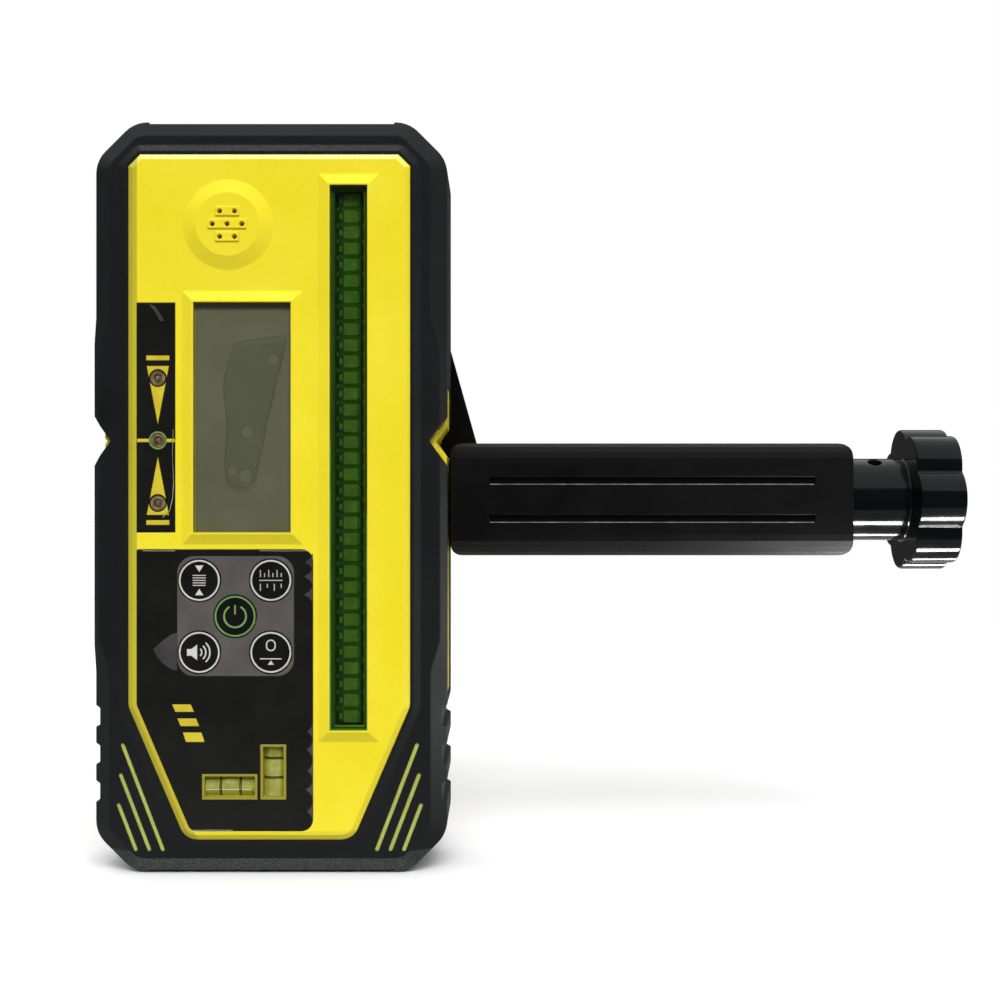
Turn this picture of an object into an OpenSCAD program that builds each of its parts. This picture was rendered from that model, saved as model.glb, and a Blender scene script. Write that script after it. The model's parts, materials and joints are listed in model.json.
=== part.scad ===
// Laser receiver with its staff clamp, for reading a rotating laser on a levelling staff.
// Millimetres. X runs right, Y runs back, Z runs up, and the front panel faces -Y.
// The origin is the middle of the receiver's foot, on the plane where the case halves meet.

/* [Case] */
// Front half: from the panel's face to the parting plane
front_d = 15; // [14:0.5:19]
// Rear half: from the parting plane to the back
rear_d = 15; // [15:0.5:20]
// Rubber rim beside the panel
rim_w = 8.1; // [7.5:0.05:11]
// Rubber rim above and below the panel
rim_h = 8; // [7.5:0.05:11]
// Rubber on the sides of the case
rubber_t = 2.2; // [1.8:0.1:2.6]
// Moulded wall of both halves
wall = 2; // [1.8:0.1:2.2]
// Cut corners of the case
corner_cut = 8.6; // [7:0.1:10]
// Rounding at each end of a cut corner
corner_r = 7; // [4:0.5:8]
// Panel face to the flange that carries the rubber
flange_drop = 3.5; // [3:0.1:4]
// Back face to the rear flange
rear_drop = 2.4; // [2.2:0.1:3]
// Rubber rim on the back
rear_rim = 8.6; // [8.4:0.1:9.2]
// Rubber's broad bevel at the corners, top and foot
bevel_wide = 3.7; // [2:0.1:3.8]
// Rubber's narrow bevel along the sides
bevel_slim = 1.55; // [1:0.05:2]
// Slope of the broad bevel, as depth
bevel_drop = 2.6; // [2:0.1:3]
// Outer tier of the rubber, back from the panel's face
tier_drop = 1.4; // [1.2:0.1:1.8]
// Inner tier, standing above the outer one
tier_rise = 0.8; // [0.4:0.1:1]
// Width of the inner tier
tier_w = 2.3; // [1.8:0.1:2.6]
// Step between the inner and the outer tier, as width
tier_step = 1.6; // [0.5:0.1:1.7]
// Narrow bevel: its foot above the case's foot
slim_z0 = 52; // [48:0.5:56]
// Narrow bevel: its height
slim_h = 65; // [50:0.5:70]
// Slope at each end of the narrow bevel, as height
slim_run = 7; // [4:0.5:8]
// Bare case sides: bottom, above the foot
bare_z0 = 39; // [37:0.5:42]
// Bare case sides: height
bare_h = 70; // [60:1:76]
// Bare case sides: depth each side of the parting plane
bare_d = 8.5; // [6:0.5:8.5]
// How far the bare sides stand back from the rubber
bare_in = 0.3; // [0.2:0.05:0.6]
// Relief in the rubber between the corner pads, top and foot
pad_relief = 0.45; // [0.2:0.05:0.6]
// Half the length of that relief
relief_half = 27.4; // [20:0.2:29]
// Depth of that relief from the front
relief_d = 7; // [4:0.5:8]

/* [Front panel] */
// Margin between the panel's edge and its labels
edge_gap = 2; // [1.6:0.1:2.6]
// Cut upper corners of the panel
panel_cut = 2.6; // [1.5:0.1:4]
// Height of the tapered foot of the panel
taper_rise = 29.5; // [26:0.5:32]
// How far the foot tapers in on each side
taper_in = 12.6; // [10:0.1:13]
// Panel's bevelled edge, as width
edge_bevel_w = 1.2; // [0.8:0.1:1.5]
// Panel's bevelled edge, as depth
edge_bevel_d = 0.8; // [0.6:0.1:1]
// Rounding at the panel's foot
foot_r = 4; // [2:0.5:5]
// Sloped frame round each window
bezel_w = 2.6; // [2:0.05:3]
// Height of the sloped frame and of the sounder boss
bezel_rise = 1; // [0.6:0.1:1.2]
// Level rim on top of the sloped frame
bezel_rim = 0.35; // [0.25:0.05:0.5]
// Windows set below their frames
window_drop = 0.4; // [0.2:0.1:0.6]
// Ledge behind each window
window_ledge = 0.9; // [0.6:0.1:1.2]
// Clearance round windows and labels
seat_gap = 0.1; // [0.05:0.01:0.15]
// Thickness of the windows
window_t = 1.5; // [1.2:0.1:1.6]
// Thickness of the printed labels
label_t = 0.3; // [0.2:0.05:0.4]

/* [Display] */
// Display window width
display_w = 21.5; // [19:0.1:26]
// Display window height
display_h = 50.8; // [46:0.1:60]
// Liquid crystal panel beyond the window on each side
lcd_side = 1.2; // [0.8:0.1:1.4]
// Indicator label width
label_w = 8.6; // [8:0.1:10]
// Gap between the indicator label and the display frame
label_gap = 1.5; // [1.2:0.1:3]
// On-grade line above the display's lower edge
grade_rise = 20.35; // [18:0.05:26]
// Spacing of the lamps
lamp_pitch = 13.8; // [12:0.1:15]
// Lamps, in from the label's left edge, as a share of the label
lamp_share = 0.55; // [0.45:0.01:0.6]
// Lamp diameter
lamp_d = 3; // [2.8:0.1:3.2]
// Clearance round a lamp
lamp_gap = 0.2; // [0.1:0.05:0.3]
// Lamp tips, back from the panel's face
lamp_drop = 0.3; // [0.2:0.1:0.5]

/* [Sensor strip] */
// Sensor window width
sensor_w = 8.3; // [7:0.1:10]
// Sensor window height
sensor_h = 120.3; // [100:0.1:122]
// Gap between the two window frames
sensor_gap = 3.35; // [2.8:0.05:4.5]
// Frame of the sensor window to the panel's right edge
sensor_edge = 6.75; // [6:0.05:8]
// Frame of the sensor window to the panel's top
sensor_top = 4.5; // [3:0.1:5]
// Spacing of the photodiodes
diode_pitch = 3.6; // [3.4:0.01:4]
// Photodiode width
diode_w = 5; // [4:0.1:5.4]
// Photodiode height
diode_h = 2.8; // [2.4:0.1:3.1]
// Photodiode thickness
diode_t = 1.2; // [1:0.1:1.3]

/* [Sounder] */
// Sounder boss at its foot
sounder_d = 20; // [18:0.5:22]
// Sounder boss at its top
sounder_top_d = 14; // [13:0.1:15]
// Gap between the display frame and the sounder boss
sounder_gap = 4.6; // [4:0.1:8]
// Gap between the sounder boss and the panel's top
sounder_top_gap = 5.75; // [4:0.25:8]
// Sounder's place across the display, as a share of its width
sounder_share = 0.35; // [0.3:0.01:0.4]
// Sound holes
sound_hole_d = 1.1; // [0.8:0.1:1.3]
// Spacing of the sound holes
sound_pitch = 3.25; // [2.8:0.05:3.4]
// Low rib that joins the sound holes of a row: height
sound_rib = 2; // [1.6:0.1:2.4]
// Low rib: how far it stands out
sound_rib_d = 0.25; // [0.15:0.05:0.4]
// Sounder can diameter
buzzer_d = 13; // [12:0.5:13.5]
// Sealing disc behind the sound holes
membrane_t = 0.2; // [0.1:0.05:0.3]

/* [Keypad] */
// Keypad label height
overlay_h = 62.3; // [58:0.1:66]
// Keypad label to the display and sensor frames
overlay_gap = 1.1; // [0.6:0.1:1.5]
// Rounding of the keypad label on the right
overlay_r = 2.6; // [1.5:0.1:3.5]
// Power key, in from the label's left edge
key_in = 21.8; // [20.5:0.1:23]
// Power key, down from the label's top
key_down = 14.8; // [13:0.1:16]
// Outer keys, left and right of the power key
key_dx = 7.9; // [7.3:0.05:8.5]
// Outer keys, above and below the power key
key_dz = 7.95; // [7.3:0.05:8.5]
// Key diameter
key_d = 9.3; // [8:0.1:9.5]
// Clearance round a key
key_gap = 0.15; // [0.1:0.05:0.2]
// Thickness of a key's cap
key_t = 0.6; // [0.5:0.1:0.8]
// Keys stand proud of the label
key_rise = 0.1; // [0.05:0.05:0.2]
// Key travel
key_travel = 0.3; // [0.2:0.05:0.35]
// Key stem diameter
stem_d = 3.2; // [2.8:0.1:3.6]
// Snap dome diameter
dome_d = 7; // [6:0.1:7.2]
// Snap dome height
dome_h = 0.6; // [0.5:0.05:0.7]

/* [Level vials] */
// Vial window length
vial_l = 12.2; // [11:0.05:13]
// Vial window width
vial_w = 5.65; // [5:0.05:6]
// Gap between the two vial windows
vial_gap = 0.7; // [0.6:0.1:1.5]
// Upright vial to the label's right edge
vial_in = 6; // [5:0.1:7]
// Vials above the label's foot
vial_up = 7; // [6:0.1:7.5]
// Case rim inside each vial window
vial_rim = 0.55; // [0.4:0.05:0.8]
// Vial tube diameter
vial_d = 5.8; // [5.6:0.1:6]
// Vial tube beyond its window at each end
vial_over = 0.1; // [0.05:0.05:0.2]
// Vial tube, back from the panel's face
vial_drop = 1; // [0.8:0.1:1.2]
// Clearance round a vial tube
vial_slack = 0.1; // [0.05:0.05:0.15]
// Cradle beyond the vials
cradle_side = 2.5; // [2:0.1:3]
// Cradle thickness behind the vials
cradle_t = 1.5; // [1.2:0.1:2]

/* [Marks on the sides] */
// Sighting notch in the rubber: depth
notch_d = 3.9; // [2.5:0.1:4]
// Sighting notch in the rubber: half its opening
notch_half = 5.5; // [4:0.1:6]
// Sighting notch in the case: depth
inner_notch_d = 2.4; // [1:0.1:2.6]
// Sighting notch in the case: half its opening
inner_notch_half = 3.4; // [2.5:0.1:4]
// Grip notches: height of the middle one
grip_z = 26.5; // [25:0.1:28]
// Grip notches: spacing
grip_pitch = 8.4; // [7.5:0.1:8.5]
// Grip notches: height of each
grip_h = 4.8; // [3.5:0.1:5]
// Grip notches: depth
grip_d = 1.1; // [0.8:0.1:1.5]
// Yellow bars in the lower corners: width
bar_w = 0.9; // [0.6:0.05:1.2]
// Yellow bars: foot of each, above the case's foot
bar_z = 5.65; // [5.5:0.05:7]
// Yellow bars: foot of the innermost, in from the case's side
bar_in = 15.5; // [15:0.1:16]
// Yellow bars: spacing of their feet
bar_pitch = 3; // [2.5:0.1:3.2]
// Yellow bars: length of the innermost
bar_l = 24.8; // [20:0.2:25]
// Yellow bars: each next one is shorter by this
bar_step = 7.15; // [6:0.05:7.5]
// Yellow bars: lean from upright, in degrees
bar_lean = 21; // [15:0.5:25]
// Yellow bars lie below the rubber
bar_drop = 0.4; // [0.2:0.1:0.6]

/* [Boards] */
// Panel face to the boards
board_back = 4.4; // [4.2:0.1:5]
// Board thickness
board_t = 1.6; // [1.2:0.1:1.6]
// Gap round the boards
board_gap = 0.6; // [0.4:0.1:1]
// Sensor board beyond its window on each side
board_side = 2; // [1.8:0.1:2.4]
// Rails that carry the sensor board
rail_w = 0.9; // [0.8:0.1:1]
// Posts that carry the main board
post_d = 4.8; // [4.4:0.1:5.2]
// Posts, in from the board's edges
post_in = 3; // [2.6:0.1:3.4]
// Board screw thread
board_screw_d = 2; // [1.8:0.1:2.2]
// Board screw head diameter
board_head_d = 3.8; // [3.4:0.1:4.2]
// Board screw head height
board_head_h = 1.2; // [1:0.1:1.5]
// Clearance of a fixing screw in its hole
screw_gap = 0.05; // [0.03:0.01:0.1]
// Flat link between the boards: thickness
link_t = 0.3; // [0.2:0.05:0.4]
// Flat link between the boards: height
link_h = 14; // [8:1:20]
// Supply pins between the battery bay and the board
pin_d = 1.6; // [1.2:0.1:2]

/* [Case fixings] */
// Case screws, in from the case's sides
case_screw_in = 5.65; // [5.5:0.05:5.8]
// Case screws, in from the case's foot and top
case_screw_end = 15.5; // [14:0.5:17]
// Middle case screws, as a share of the case's height
case_screw_share = 0.43; // [0.4:0.01:0.45]
// Case screw thread
case_screw_d = 2.6; // [2.2:0.1:2.8]
// Case screw head diameter
case_head_d = 4.4; // [4:0.1:4.6]
// Case screw head height
case_head_h = 2; // [1.6:0.1:2.4]
// Case screw reach into the front half
case_screw_reach = 7; // [5:0.5:8]
// Screw bosses
boss_d = 5.6; // [5.4:0.1:5.8]
// Seal width
seal_w = 0.8; // [0.6:0.1:0.9]
// Seal depth
seal_d = 1; // [0.8:0.1:1.5]

/* [Battery bay] */
// Cell diameter
cell_d = 14.5; // [13.5:0.1:14.5]
// Cell length with its tip
cell_l = 50.5; // [48:0.5:51]
// Cell tip diameter
tip_d = 5.4; // [5:0.1:5.5]
// Cell tip length
tip_l = 1; // [0.8:0.1:1.2]
// Gap round the cells
cell_gap = 0.4; // [0.3:0.1:0.6]
// Wall of the bay
bay_wall = 1.5; // [1.3:0.1:1.8]
// Contact sheet
contact_t = 0.5; // [0.4:0.1:0.6]
// Contact width
contact_w = 9; // [7:0.5:11]
// Contact depth
contact_d = 8; // [6:0.5:9]
// Sprung contact height
spring_l = 4; // [3.5:0.1:4.5]
// Door lap on the bay's rim
door_lap = 1.1; // [0.8:0.1:1.2]
// Gap round the door
door_gap = 0.3; // [0.2:0.05:0.4]
// Door hinge, below the back face
hinge_back = 2.4; // [2.3:0.1:2.6]
// Door hinge above the rear rim
hinge_up = 3.6; // [3.4:0.1:4]
// Door knuckle radius
knuckle_r = 2.1; // [1.5:0.1:2.2]
// Door opening, in degrees
door_open = 75; // [45:1:80]
// Door hinge pin radius
hinge_r = 1.1; // [1:0.05:1.2]
// Door hinge pin length
hinge_l = 1.8; // [1.5:0.1:2]
// Running clearance of pins and shafts
run_gap = 0.05; // [0.03:0.01:0.08]
// Thumb groove width in the door
thumb_w = 14; // [10:1:20]
// Thumb groove radius in the door
thumb_r = 2; // [1.5:0.1:2.5]
// Thumb groove below the door's top
thumb_down = 5; // [4:0.5:8]

/* [Clamp frame] */
// Gap between the receiver's side and the arm
side_gap = 0.5; // [0.3:0.1:1]
// Arm length
arm_l = 92.2; // [88:0.2:110]
// Arm height
arm_h = 26; // [25:0.1:28]
// Arm depth
arm_d = 24; // [24:0.5:26]
// Arm's rounded edges
arm_r = 5; // [2:0.5:5]
// Arm's rounded ends
arm_end_r = 2.5; // [1:0.5:3]
// Arm walls
arm_wall = 3; // [2.8:0.1:3.2]
// Solid block at the receiver's end of the arm
block_l = 7; // [7:0.1:8]
// Solid block at the knob's end of the arm
end_l = 14; // [13.5:0.1:16]
// Grooves along the arm: height
groove_h = 1.6; // [1:0.1:2.2]
// Grooves along the arm: depth
groove_d = 0.8; // [0.5:0.1:1]
// Grooves: from each end of the arm
groove_in = 8.75; // [6:0.25:12]
// Upper groove below the reading edge
groove_1 = 8.65; // [7:0.05:9]
// Lower groove below the reading edge
groove_2 = 17.35; // [15:0.05:18]
// Back plate thickness
plate_t = 5; // [4.5:0.1:6]
// Back plate beyond the mounting screw on the left
plate_left = 18; // [17:0.5:22]
// Back plate above the reading edge
plate_up = 29.5; // [24:0.5:32]
// Lean of the back plate's edges, across for each step up
plate_lean_share = 0.28; // [0.2:0.01:0.3]
// Back plate's foot above the arm's foot
plate_lift = 3.5; // [3:0.1:5]
// Rounding of the back plate
plate_r = 4; // [2:0.5:5]
// Fixed jaw thickness
jaw_t = 5.8; // [5:0.1:6]
// Jaws reach behind the arm
jaw_reach = 26; // [22:0.5:32]
// Moving jaw thickness
slide_jaw_t = 7; // [6:0.1:9]
// Jaw pad thickness
pad_t = 1.5; // [1:0.1:2]
// Margin round a jaw pad
pad_in = 1.2; // [1:0.1:2]
// Gap between the open jaw's slider and the collar
jaw_back = 0.85; // [0.5:0.05:4]
// Least opening between the pads
jaw_least = 1.25; // [0.5:0.05:3]

/* [Clamp fixings] */
// Mounting screw thread
mount_d = 6.35; // [5.5:0.05:6.5]
// Mounting screw reach into the receiver
mount_reach = 6.5; // [6:0.1:7]
// Brass insert diameter
insert_d = 9; // [8.5:0.1:10]
// Brass insert length
insert_l = 8; // [7:0.1:9]
// Boss round the insert
insert_boss_d = 13; // [12:0.1:15]
// Mounting knob diameter
thumb_d = 19; // [16:0.5:22]
// Mounting knob height
thumb_h = 9; // [7:0.5:12]
// Boss on the back plate under the mounting knob
plate_boss_h = 3; // [2:0.5:4]
// Clip on the mounting screw: diameter
clip_d = 10.5; // [9.5:0.1:11]
// Clip on the mounting screw: thickness
clip_t = 0.8; // [0.6:0.1:1]
// Locating pins: diameter
dowel_d = 4; // [3:0.1:5]
// Locating pins: left and right of the mounting screw
dowel_dx = 13; // [12:0.5:14]
// Locating pins: reach into the receiver
dowel_reach = 4; // [3:0.1:4.5]
// Cover screw thread
cover_screw_d = 2.2; // [2:0.1:2.4]
// Cover screw head diameter
cover_head_d = 4; // [3.6:0.1:4.4]
// Cover screw head height
cover_head_h = 1.4; // [1.2:0.1:1.6]
// Cover screw tips above the bush
cover_screw_clear = 0.8; // [0.7:0.05:1.2]
// Cover screw heads, in from the cover's edge
cover_screw_edge = 0.8; // [0.5:0.1:1]
// Lap of the arm cover on the arm
cover_lap = 1.4; // [1.2:0.1:1.5]

/* [Lead screw and knob] */
// Lead screw diameter
lead_d = 8; // [7:0.1:8.5]
// Slot for the jaw's neck
slot_h = 9; // [7:0.1:10]
// Sliding clearance of the jaw
slide_gap = 0.3; // [0.2:0.05:0.4]
// Length of the jaw's slider
slider_l = 18; // [16:0.5:19]
// Brass nut diameter
nut_d = 13; // [12:0.1:14]
// Brass nut length
nut_l = 12; // [9:0.5:14]
// Bush diameter
bush_d = 12; // [11:0.1:13]
// Tail bush length
tail_l = 5; // [4:0.1:5.2]
// Collar diameter
collar_d = 14; // [12:0.1:16]
// Collar length
collar_l = 3; // [2:0.1:3.5]
// Thrust washer thickness
washer_t = 0.6; // [0.4:0.1:0.8]
// Hub diameter
hub_d = 19.3; // [17:0.1:19.5]
// Hub outside the arm
hub_l = 14.2; // [12:0.1:20]
// Hub inside the arm's end
hub_in = 5.4; // [4:0.1:5.6]
// Gap round the hub in the arm's end
hub_gap = 0.55; // [0.4:0.05:0.8]
// Knob diameter over its lobes
knob_d = 33.6; // [28:0.1:38]
// Knob thickness
knob_t = 10.5; // [8:0.5:14]
// Lobes on the knob
lobes = 7; // [6:1:9]
// Depth of the knob's valleys
valley = 2.1; // [1.2:0.1:2.2]
// Lead screw inside the hub, from the hub's inner end
lead_in = 14; // [13.5:0.5:16]
// Grub screw diameter
grub_d = 3; // [2.5:0.1:3.5]
// Grub screw length
grub_l = 4; // [3:0.1:4.5]
// Grub screw: lean toward the front, in degrees
grub_lean = 24; // [0:1:40]
// Grub screw, out from the arm's end
grub_out = 7; // [5:0.5:7.5]

/* [Hidden] */
// Overrun of every cut
over = 1;
// Depth to which joined forms run into each other
embed = 0.5;
// Steps in each rounded corner of an outline
arc_steps = 5;
// Least rounding that an outline keeps
least_r = 0.4;
// Chamfer on screw heads, keys and similar small edges
small_edge = 0.3;
// Facets of the drawn circles
$fn = 64;

// The front panel across, from its left edge
panel_w = edge_gap + label_w + label_gap + display_w + sensor_gap + sensor_w + sensor_edge + 4 * bezel_w;
panel_x0 = -panel_w / 2;
label_x0 = panel_x0 + edge_gap;
display_x0 = label_x0 + label_w + label_gap + bezel_w;
display_x1 = display_x0 + display_w;
sensor_x0 = display_x1 + sensor_gap + 2 * bezel_w;
sensor_x1 = sensor_x0 + sensor_w;
sensor_x = (sensor_x0 + sensor_x1) / 2;
overlay_x1 = sensor_x0 - bezel_w - overlay_gap;
lamp_x = label_x0 + lamp_share * label_w;
sounder_x = display_x0 + sounder_share * display_w;
key_x = label_x0 + key_in;

// The front panel upwards, from its foot
panel_z0 = rim_h;
overlay_z0 = panel_z0 + edge_gap;
overlay_z1 = overlay_z0 + overlay_h;
display_z0 = overlay_z1 + overlay_gap + bezel_w;
display_z1 = display_z0 + display_h;
sounder_z = display_z1 + bezel_w + sounder_gap + sounder_d / 2;
panel_z1 = sounder_z + sounder_d / 2 + sounder_top_gap;
sensor_z1 = panel_z1 - sensor_top - bezel_w;
sensor_z0 = sensor_z1 - sensor_h;
grade_z = display_z0 + grade_rise;
key_z = overlay_z1 - key_down;
taper_z = panel_z0 + taper_rise;
body_w = panel_w + 2 * rim_w;
body_h = panel_z1 + rim_h;
half_w = body_w / 2;

// Depths of the front half
panel_y = -front_d;
inner_y = panel_y + wall;
flange_y = panel_y + flange_drop;
board_y = panel_y + board_back;
board_end_y = board_y + board_t;
tier_y = panel_y + tier_drop;
bezel_y = panel_y - bezel_rise;
window_y = bezel_y + window_drop;
window_end_y = window_y + window_t;
label_y = panel_y + label_t;
bar_y = tier_y + bar_drop;
membrane_y = inner_y - embed;
buzzer_y = membrane_y + membrane_t;

// Depths of the rear half
back_y = rear_d;
rear_flange_y = back_y - rear_drop;
rear_inner_y = back_y - wall;
rear_rubber_y = back_y - door_gap;

// Boards
board_x0 = panel_x0 + wall + board_gap;
board_x1 = sensor_x0 - board_side - board_gap;
board_z0 = taper_z + board_gap;
board_z1 = panel_z1 - wall - board_gap;
sensor_board_x0 = sensor_x0 - board_side;
sensor_board_x1 = sensor_x1 + board_side;
diodes = floor(sensor_h / diode_pitch);
diode_z0 = (sensor_z0 + sensor_z1 - (diodes - 1) * diode_pitch) / 2;
post_z1 = display_z1 + bezel_w + post_in;
post_z0 = board_z0 + post_in;
posts = [
    [board_x0 + post_in, post_z1],
    [display_x1, post_z1],
    [board_x0 + post_in, post_z0],
    [board_x1 - post_in, post_z0]
];

case_screw_z = [case_screw_end, case_screw_share * body_h, body_h - case_screw_end];

// Keys
key_places = [
    [key_x - key_dx, key_z + key_dz],
    [key_x + key_dx, key_z + key_dz],
    [key_x, key_z],
    [key_x - key_dx, key_z - key_dz],
    [key_x + key_dx, key_z - key_dz]
];
key_front_y = panel_y - key_rise;
key_back_y = key_front_y + key_t;
key_floor_y = key_back_y + key_travel + key_gap;
stem_end_y = board_y - dome_h - key_travel - seat_gap;

// Vials
plumb_x = overlay_x1 - vial_in - vial_w / 2;
level_x = plumb_x - vial_w / 2 - vial_gap - vial_l / 2;
vial_z0 = overlay_z0 + vial_up;
level_z = vial_z0 + vial_w / 2;
plumb_z = vial_z0 + vial_l / 2;
vial_y = panel_y + vial_drop + vial_d / 2;
tube_half = vial_l / 2 + vial_over;
cradle_x0 = level_x - vial_l / 2 - cradle_side;
cradle_x1 = plumb_x + vial_w / 2 + cradle_side;
cradle_z0 = vial_z0 - vial_rim;
cradle_z1 = vial_z0 + vial_l + vial_rim;
cradle_y1 = vial_y + vial_d / 2 + cradle_t;

// Battery bay
bay_w = 2 * cell_d + 3 * cell_gap;
bay_l = cell_l + contact_t + spring_l;
hinge_y = back_y - hinge_back;
hinge_z = rear_rim + hinge_up;
relief_r = hinge_back + door_gap;
lip_z = hinge_z - hinge_back * tan(door_open / 2) - door_gap;
bay_z0 = hinge_z + relief_r + bay_wall + door_gap;
bay_z1 = bay_z0 + bay_l;
bay_y0 = rear_inner_y - cell_d - 2 * cell_gap;
cell_x = (cell_d + cell_gap) / 2;
pin_x = cell_x / 2;
cell_y = rear_inner_y - cell_gap - cell_d / 2;
cell_z1 = bay_z1 - contact_t;
door_half = bay_w / 2 + door_lap;
hinge_half = door_half + hinge_l - door_gap;
door_z1 = bay_z1 + door_lap;
pin_z = bay_z1 - bay_wall - contact_w;

// Clamp
arm_x0 = half_w + side_gap;
arm_x1 = arm_x0 + arm_l;
arm_z0 = grade_z - arm_h;
arm_y1 = back_y + plate_t;
arm_y0 = arm_y1 - arm_d;
axis_y = (arm_y0 + arm_y1) / 2;
axis_z = grade_z - arm_h / 2;
bay_x0 = arm_x0 + block_l;
bay_x1 = arm_x1 - end_l;
hollow_h = arm_h - 2 * arm_wall;
hollow_y0 = arm_y0 + arm_wall;
cover_y0 = arm_y1 - arm_wall;
cover_x0 = arm_x0 + jaw_t + seat_gap;
cover_h = hollow_h + 2 * cover_lap;
cover_screw_dz = (cover_h - cover_head_d) / 2 - cover_screw_edge;
cover_screw_l = arm_y1 - axis_y - bush_d / 2 - cover_screw_clear;
cover_screw_x = arm_x1 - (end_l - hub_in) / 2 - hub_in - seat_gap;
fixed_x = arm_x0 + jaw_t;
fixed_pad_x = fixed_x + pad_t;
jaw_y1 = arm_y1 + jaw_reach;
hub_x0 = arm_x1 - hub_in;
floor_x = hub_x0 - washer_t;
cover_x1 = floor_x;
knob_x = arm_x1 + hub_l;
knob_x1 = knob_x + knob_t;
collar_x = bay_x1 - collar_l - slide_gap;
moving_x = collar_x - jaw_back - slider_l;
nut_x = moving_x + (slider_l - nut_l) / 2;
moving_pad_x = moving_x - pad_t;
jaw_travel = moving_pad_x - fixed_pad_x - jaw_least;
lead_x0 = bay_x0 - tail_l + run_gap;
lead_x1 = hub_x0 + lead_in;
lobe_r = knob_d / 2 * sin(180 / lobes);
lobe_at = knob_d / 2 - lobe_r;
grub_x = arm_x1 + grub_out;
plate_boss_y = arm_y1 + plate_boss_h;
thumb_y = plate_boss_y + seat_gap;

// Outlines across and up, each corner with its rounding
body_outline = cut_box(half_w, 0, body_h, corner_cut, corner_r);
shell_outline = inset(body_outline, rubber_t);
back_outline = inset(body_outline, rear_rim);
panel_outline = [
    [panel_x0, taper_z, foot_r],
    [panel_x0 + taper_in, panel_z0, foot_r],
    [-panel_x0 - taper_in, panel_z0, foot_r],
    [-panel_x0, taper_z, foot_r],
    [-panel_x0, panel_z1 - panel_cut, least_r],
    [-panel_x0 - panel_cut, panel_z1, least_r],
    [panel_x0 + panel_cut, panel_z1, least_r],
    [panel_x0, panel_z1 - panel_cut, least_r]
];
overlay_corner = inset(panel_outline, edge_gap);
overlay_outline = [
    overlay_corner[0],
    overlay_corner[1],
    [overlay_x1, overlay_z0, overlay_r],
    [overlay_x1, overlay_z1, overlay_r],
    [label_x0, overlay_z1, least_r]
];
plate_foot = arm_z0 + plate_lift;
plate_top = grade_z + plate_up;
plate_lean = plate_up * plate_lean_share;
plate_outline = [
    [-plate_left, plate_foot, plate_r],
    [fixed_x, plate_foot, least_r],
    [fixed_x, grade_z, plate_r],
    [fixed_x - plate_lean, plate_top, plate_r],
    [-plate_left + plate_lean, plate_top, plate_r],
    [-plate_left, grade_z, plate_r]
];

// Direction from a to b
function toward(a, b) = [b[0] - a[0], b[1] - a[1]] / norm([b[0] - a[0], b[1] - a[1]]);

// Corner i of an outline: unit vectors to its neighbours
function arms(pts, i) = [
    toward(pts[i], pts[(i + len(pts) - 1) % len(pts)]),
    toward(pts[i], pts[(i + 1) % len(pts)])
];

// Half the angle of a corner, from its arms
function half_angle(a) = acos(a[0] * a[1]) / 2;

// Direction into a corner, from its arms
function inward(a) = (a[0] + a[1]) / norm(a[0] + a[1]);

// The same outline moved in by d, or out where d is negative
function inset(pts, d) = [
    for (i = [0:len(pts) - 1])
        let (a = arms(pts, i), b = inward(a) * d / sin(half_angle(a)))
            [pts[i][0] + b[0], pts[i][1] + b[1], max(pts[i][2] - d, least_r)]
];

// The points of an outline with its corners rounded
function arcs(pts) = [
    for (i = [0:len(pts) - 1])
        let (
            a = arms(pts, i),
            h = half_angle(a),
            r = pts[i][2],
            c = [pts[i][0], pts[i][1]] + inward(a) * r / sin(h),
            s = [pts[i][0], pts[i][1]] + a[0] * r / tan(h) - c,
            t = atan2(s[1], s[0])
        )
            for (k = [0:arc_steps])
                let (w = t + k / arc_steps * (180 - 2 * h))
                    c + r * [cos(w), sin(w)]
];

// A box across and up with cut, rounded corners
function cut_box(half, z0, z1, cut, r) = [
    [-half, z0 + cut, r],
    [-half + cut, z0, r],
    [half - cut, z0, r],
    [half, z0 + cut, r],
    [half, z1 - cut, r],
    [half - cut, z1, r],
    [-half + cut, z1, r],
    [-half, z1 - cut, r]
];

// The four corners of a plain box across and up, moved in by d
function box_points(x0, x1, z0, z1, d) = [
    [x0 + d, z0 + d],
    [x1 - d, z0 + d],
    [x1 - d, z1 - d],
    [x0 + d, z1 - d]
];

// An outline across and up, made solid from depth y0 to y1
module slab(y0, y1) {
    translate([0, y1, 0])
        rotate([90, 0, 0])
            linear_extrude(y1 - y0)
                children();
}

// An outline in depth and height, made solid from x0 to x1
module bar(x0, x1) {
    translate([x0, 0, 0])
        rotate([90, 0, 90])
            linear_extrude(x1 - x0)
                children();
}

// A solid through outlines of equal count, each [depth, points], from front to back
module loft(levels) {
    n = len(levels[0][1]);
    last = (len(levels) - 1) * n;
    points = [for (l = levels) for (p = l[1]) [p[0], l[0], p[1]]];
    sides = [
        for (j = [0:len(levels) - 2])
            for (i = [0:n - 1])
                [j * n + i, j * n + (i + 1) % n, (j + 1) * n + (i + 1) % n, (j + 1) * n + i]
    ];
    polyhedron(points, concat([[for (i = [n - 1:-1:0]) i]], sides, [[for (i = [0:n - 1]) last + i]]));
}

// A block between two corners
module block(a, b) {
    translate(a)
        cube(b - a);
}

// A round bar along Y
module round_y(x, z, r, y0, y1) {
    translate([x, y1, z])
        rotate([90, 0, 0])
            cylinder(h = y1 - y0, r = r);
}

// A round bar along X
module round_x(y, z, r, x0, x1) {
    translate([x0, y, z])
        rotate([0, 90, 0])
            cylinder(h = x1 - x0, r = r);
}

// A ring along X
module ring_x(r_in, r_out, x0, x1) {
    difference() {
        round_x(axis_y, axis_z, r_out, x0, x1);
        round_x(axis_y, axis_z, r_in, x0 - over, x1 + over);
    }
}

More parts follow.
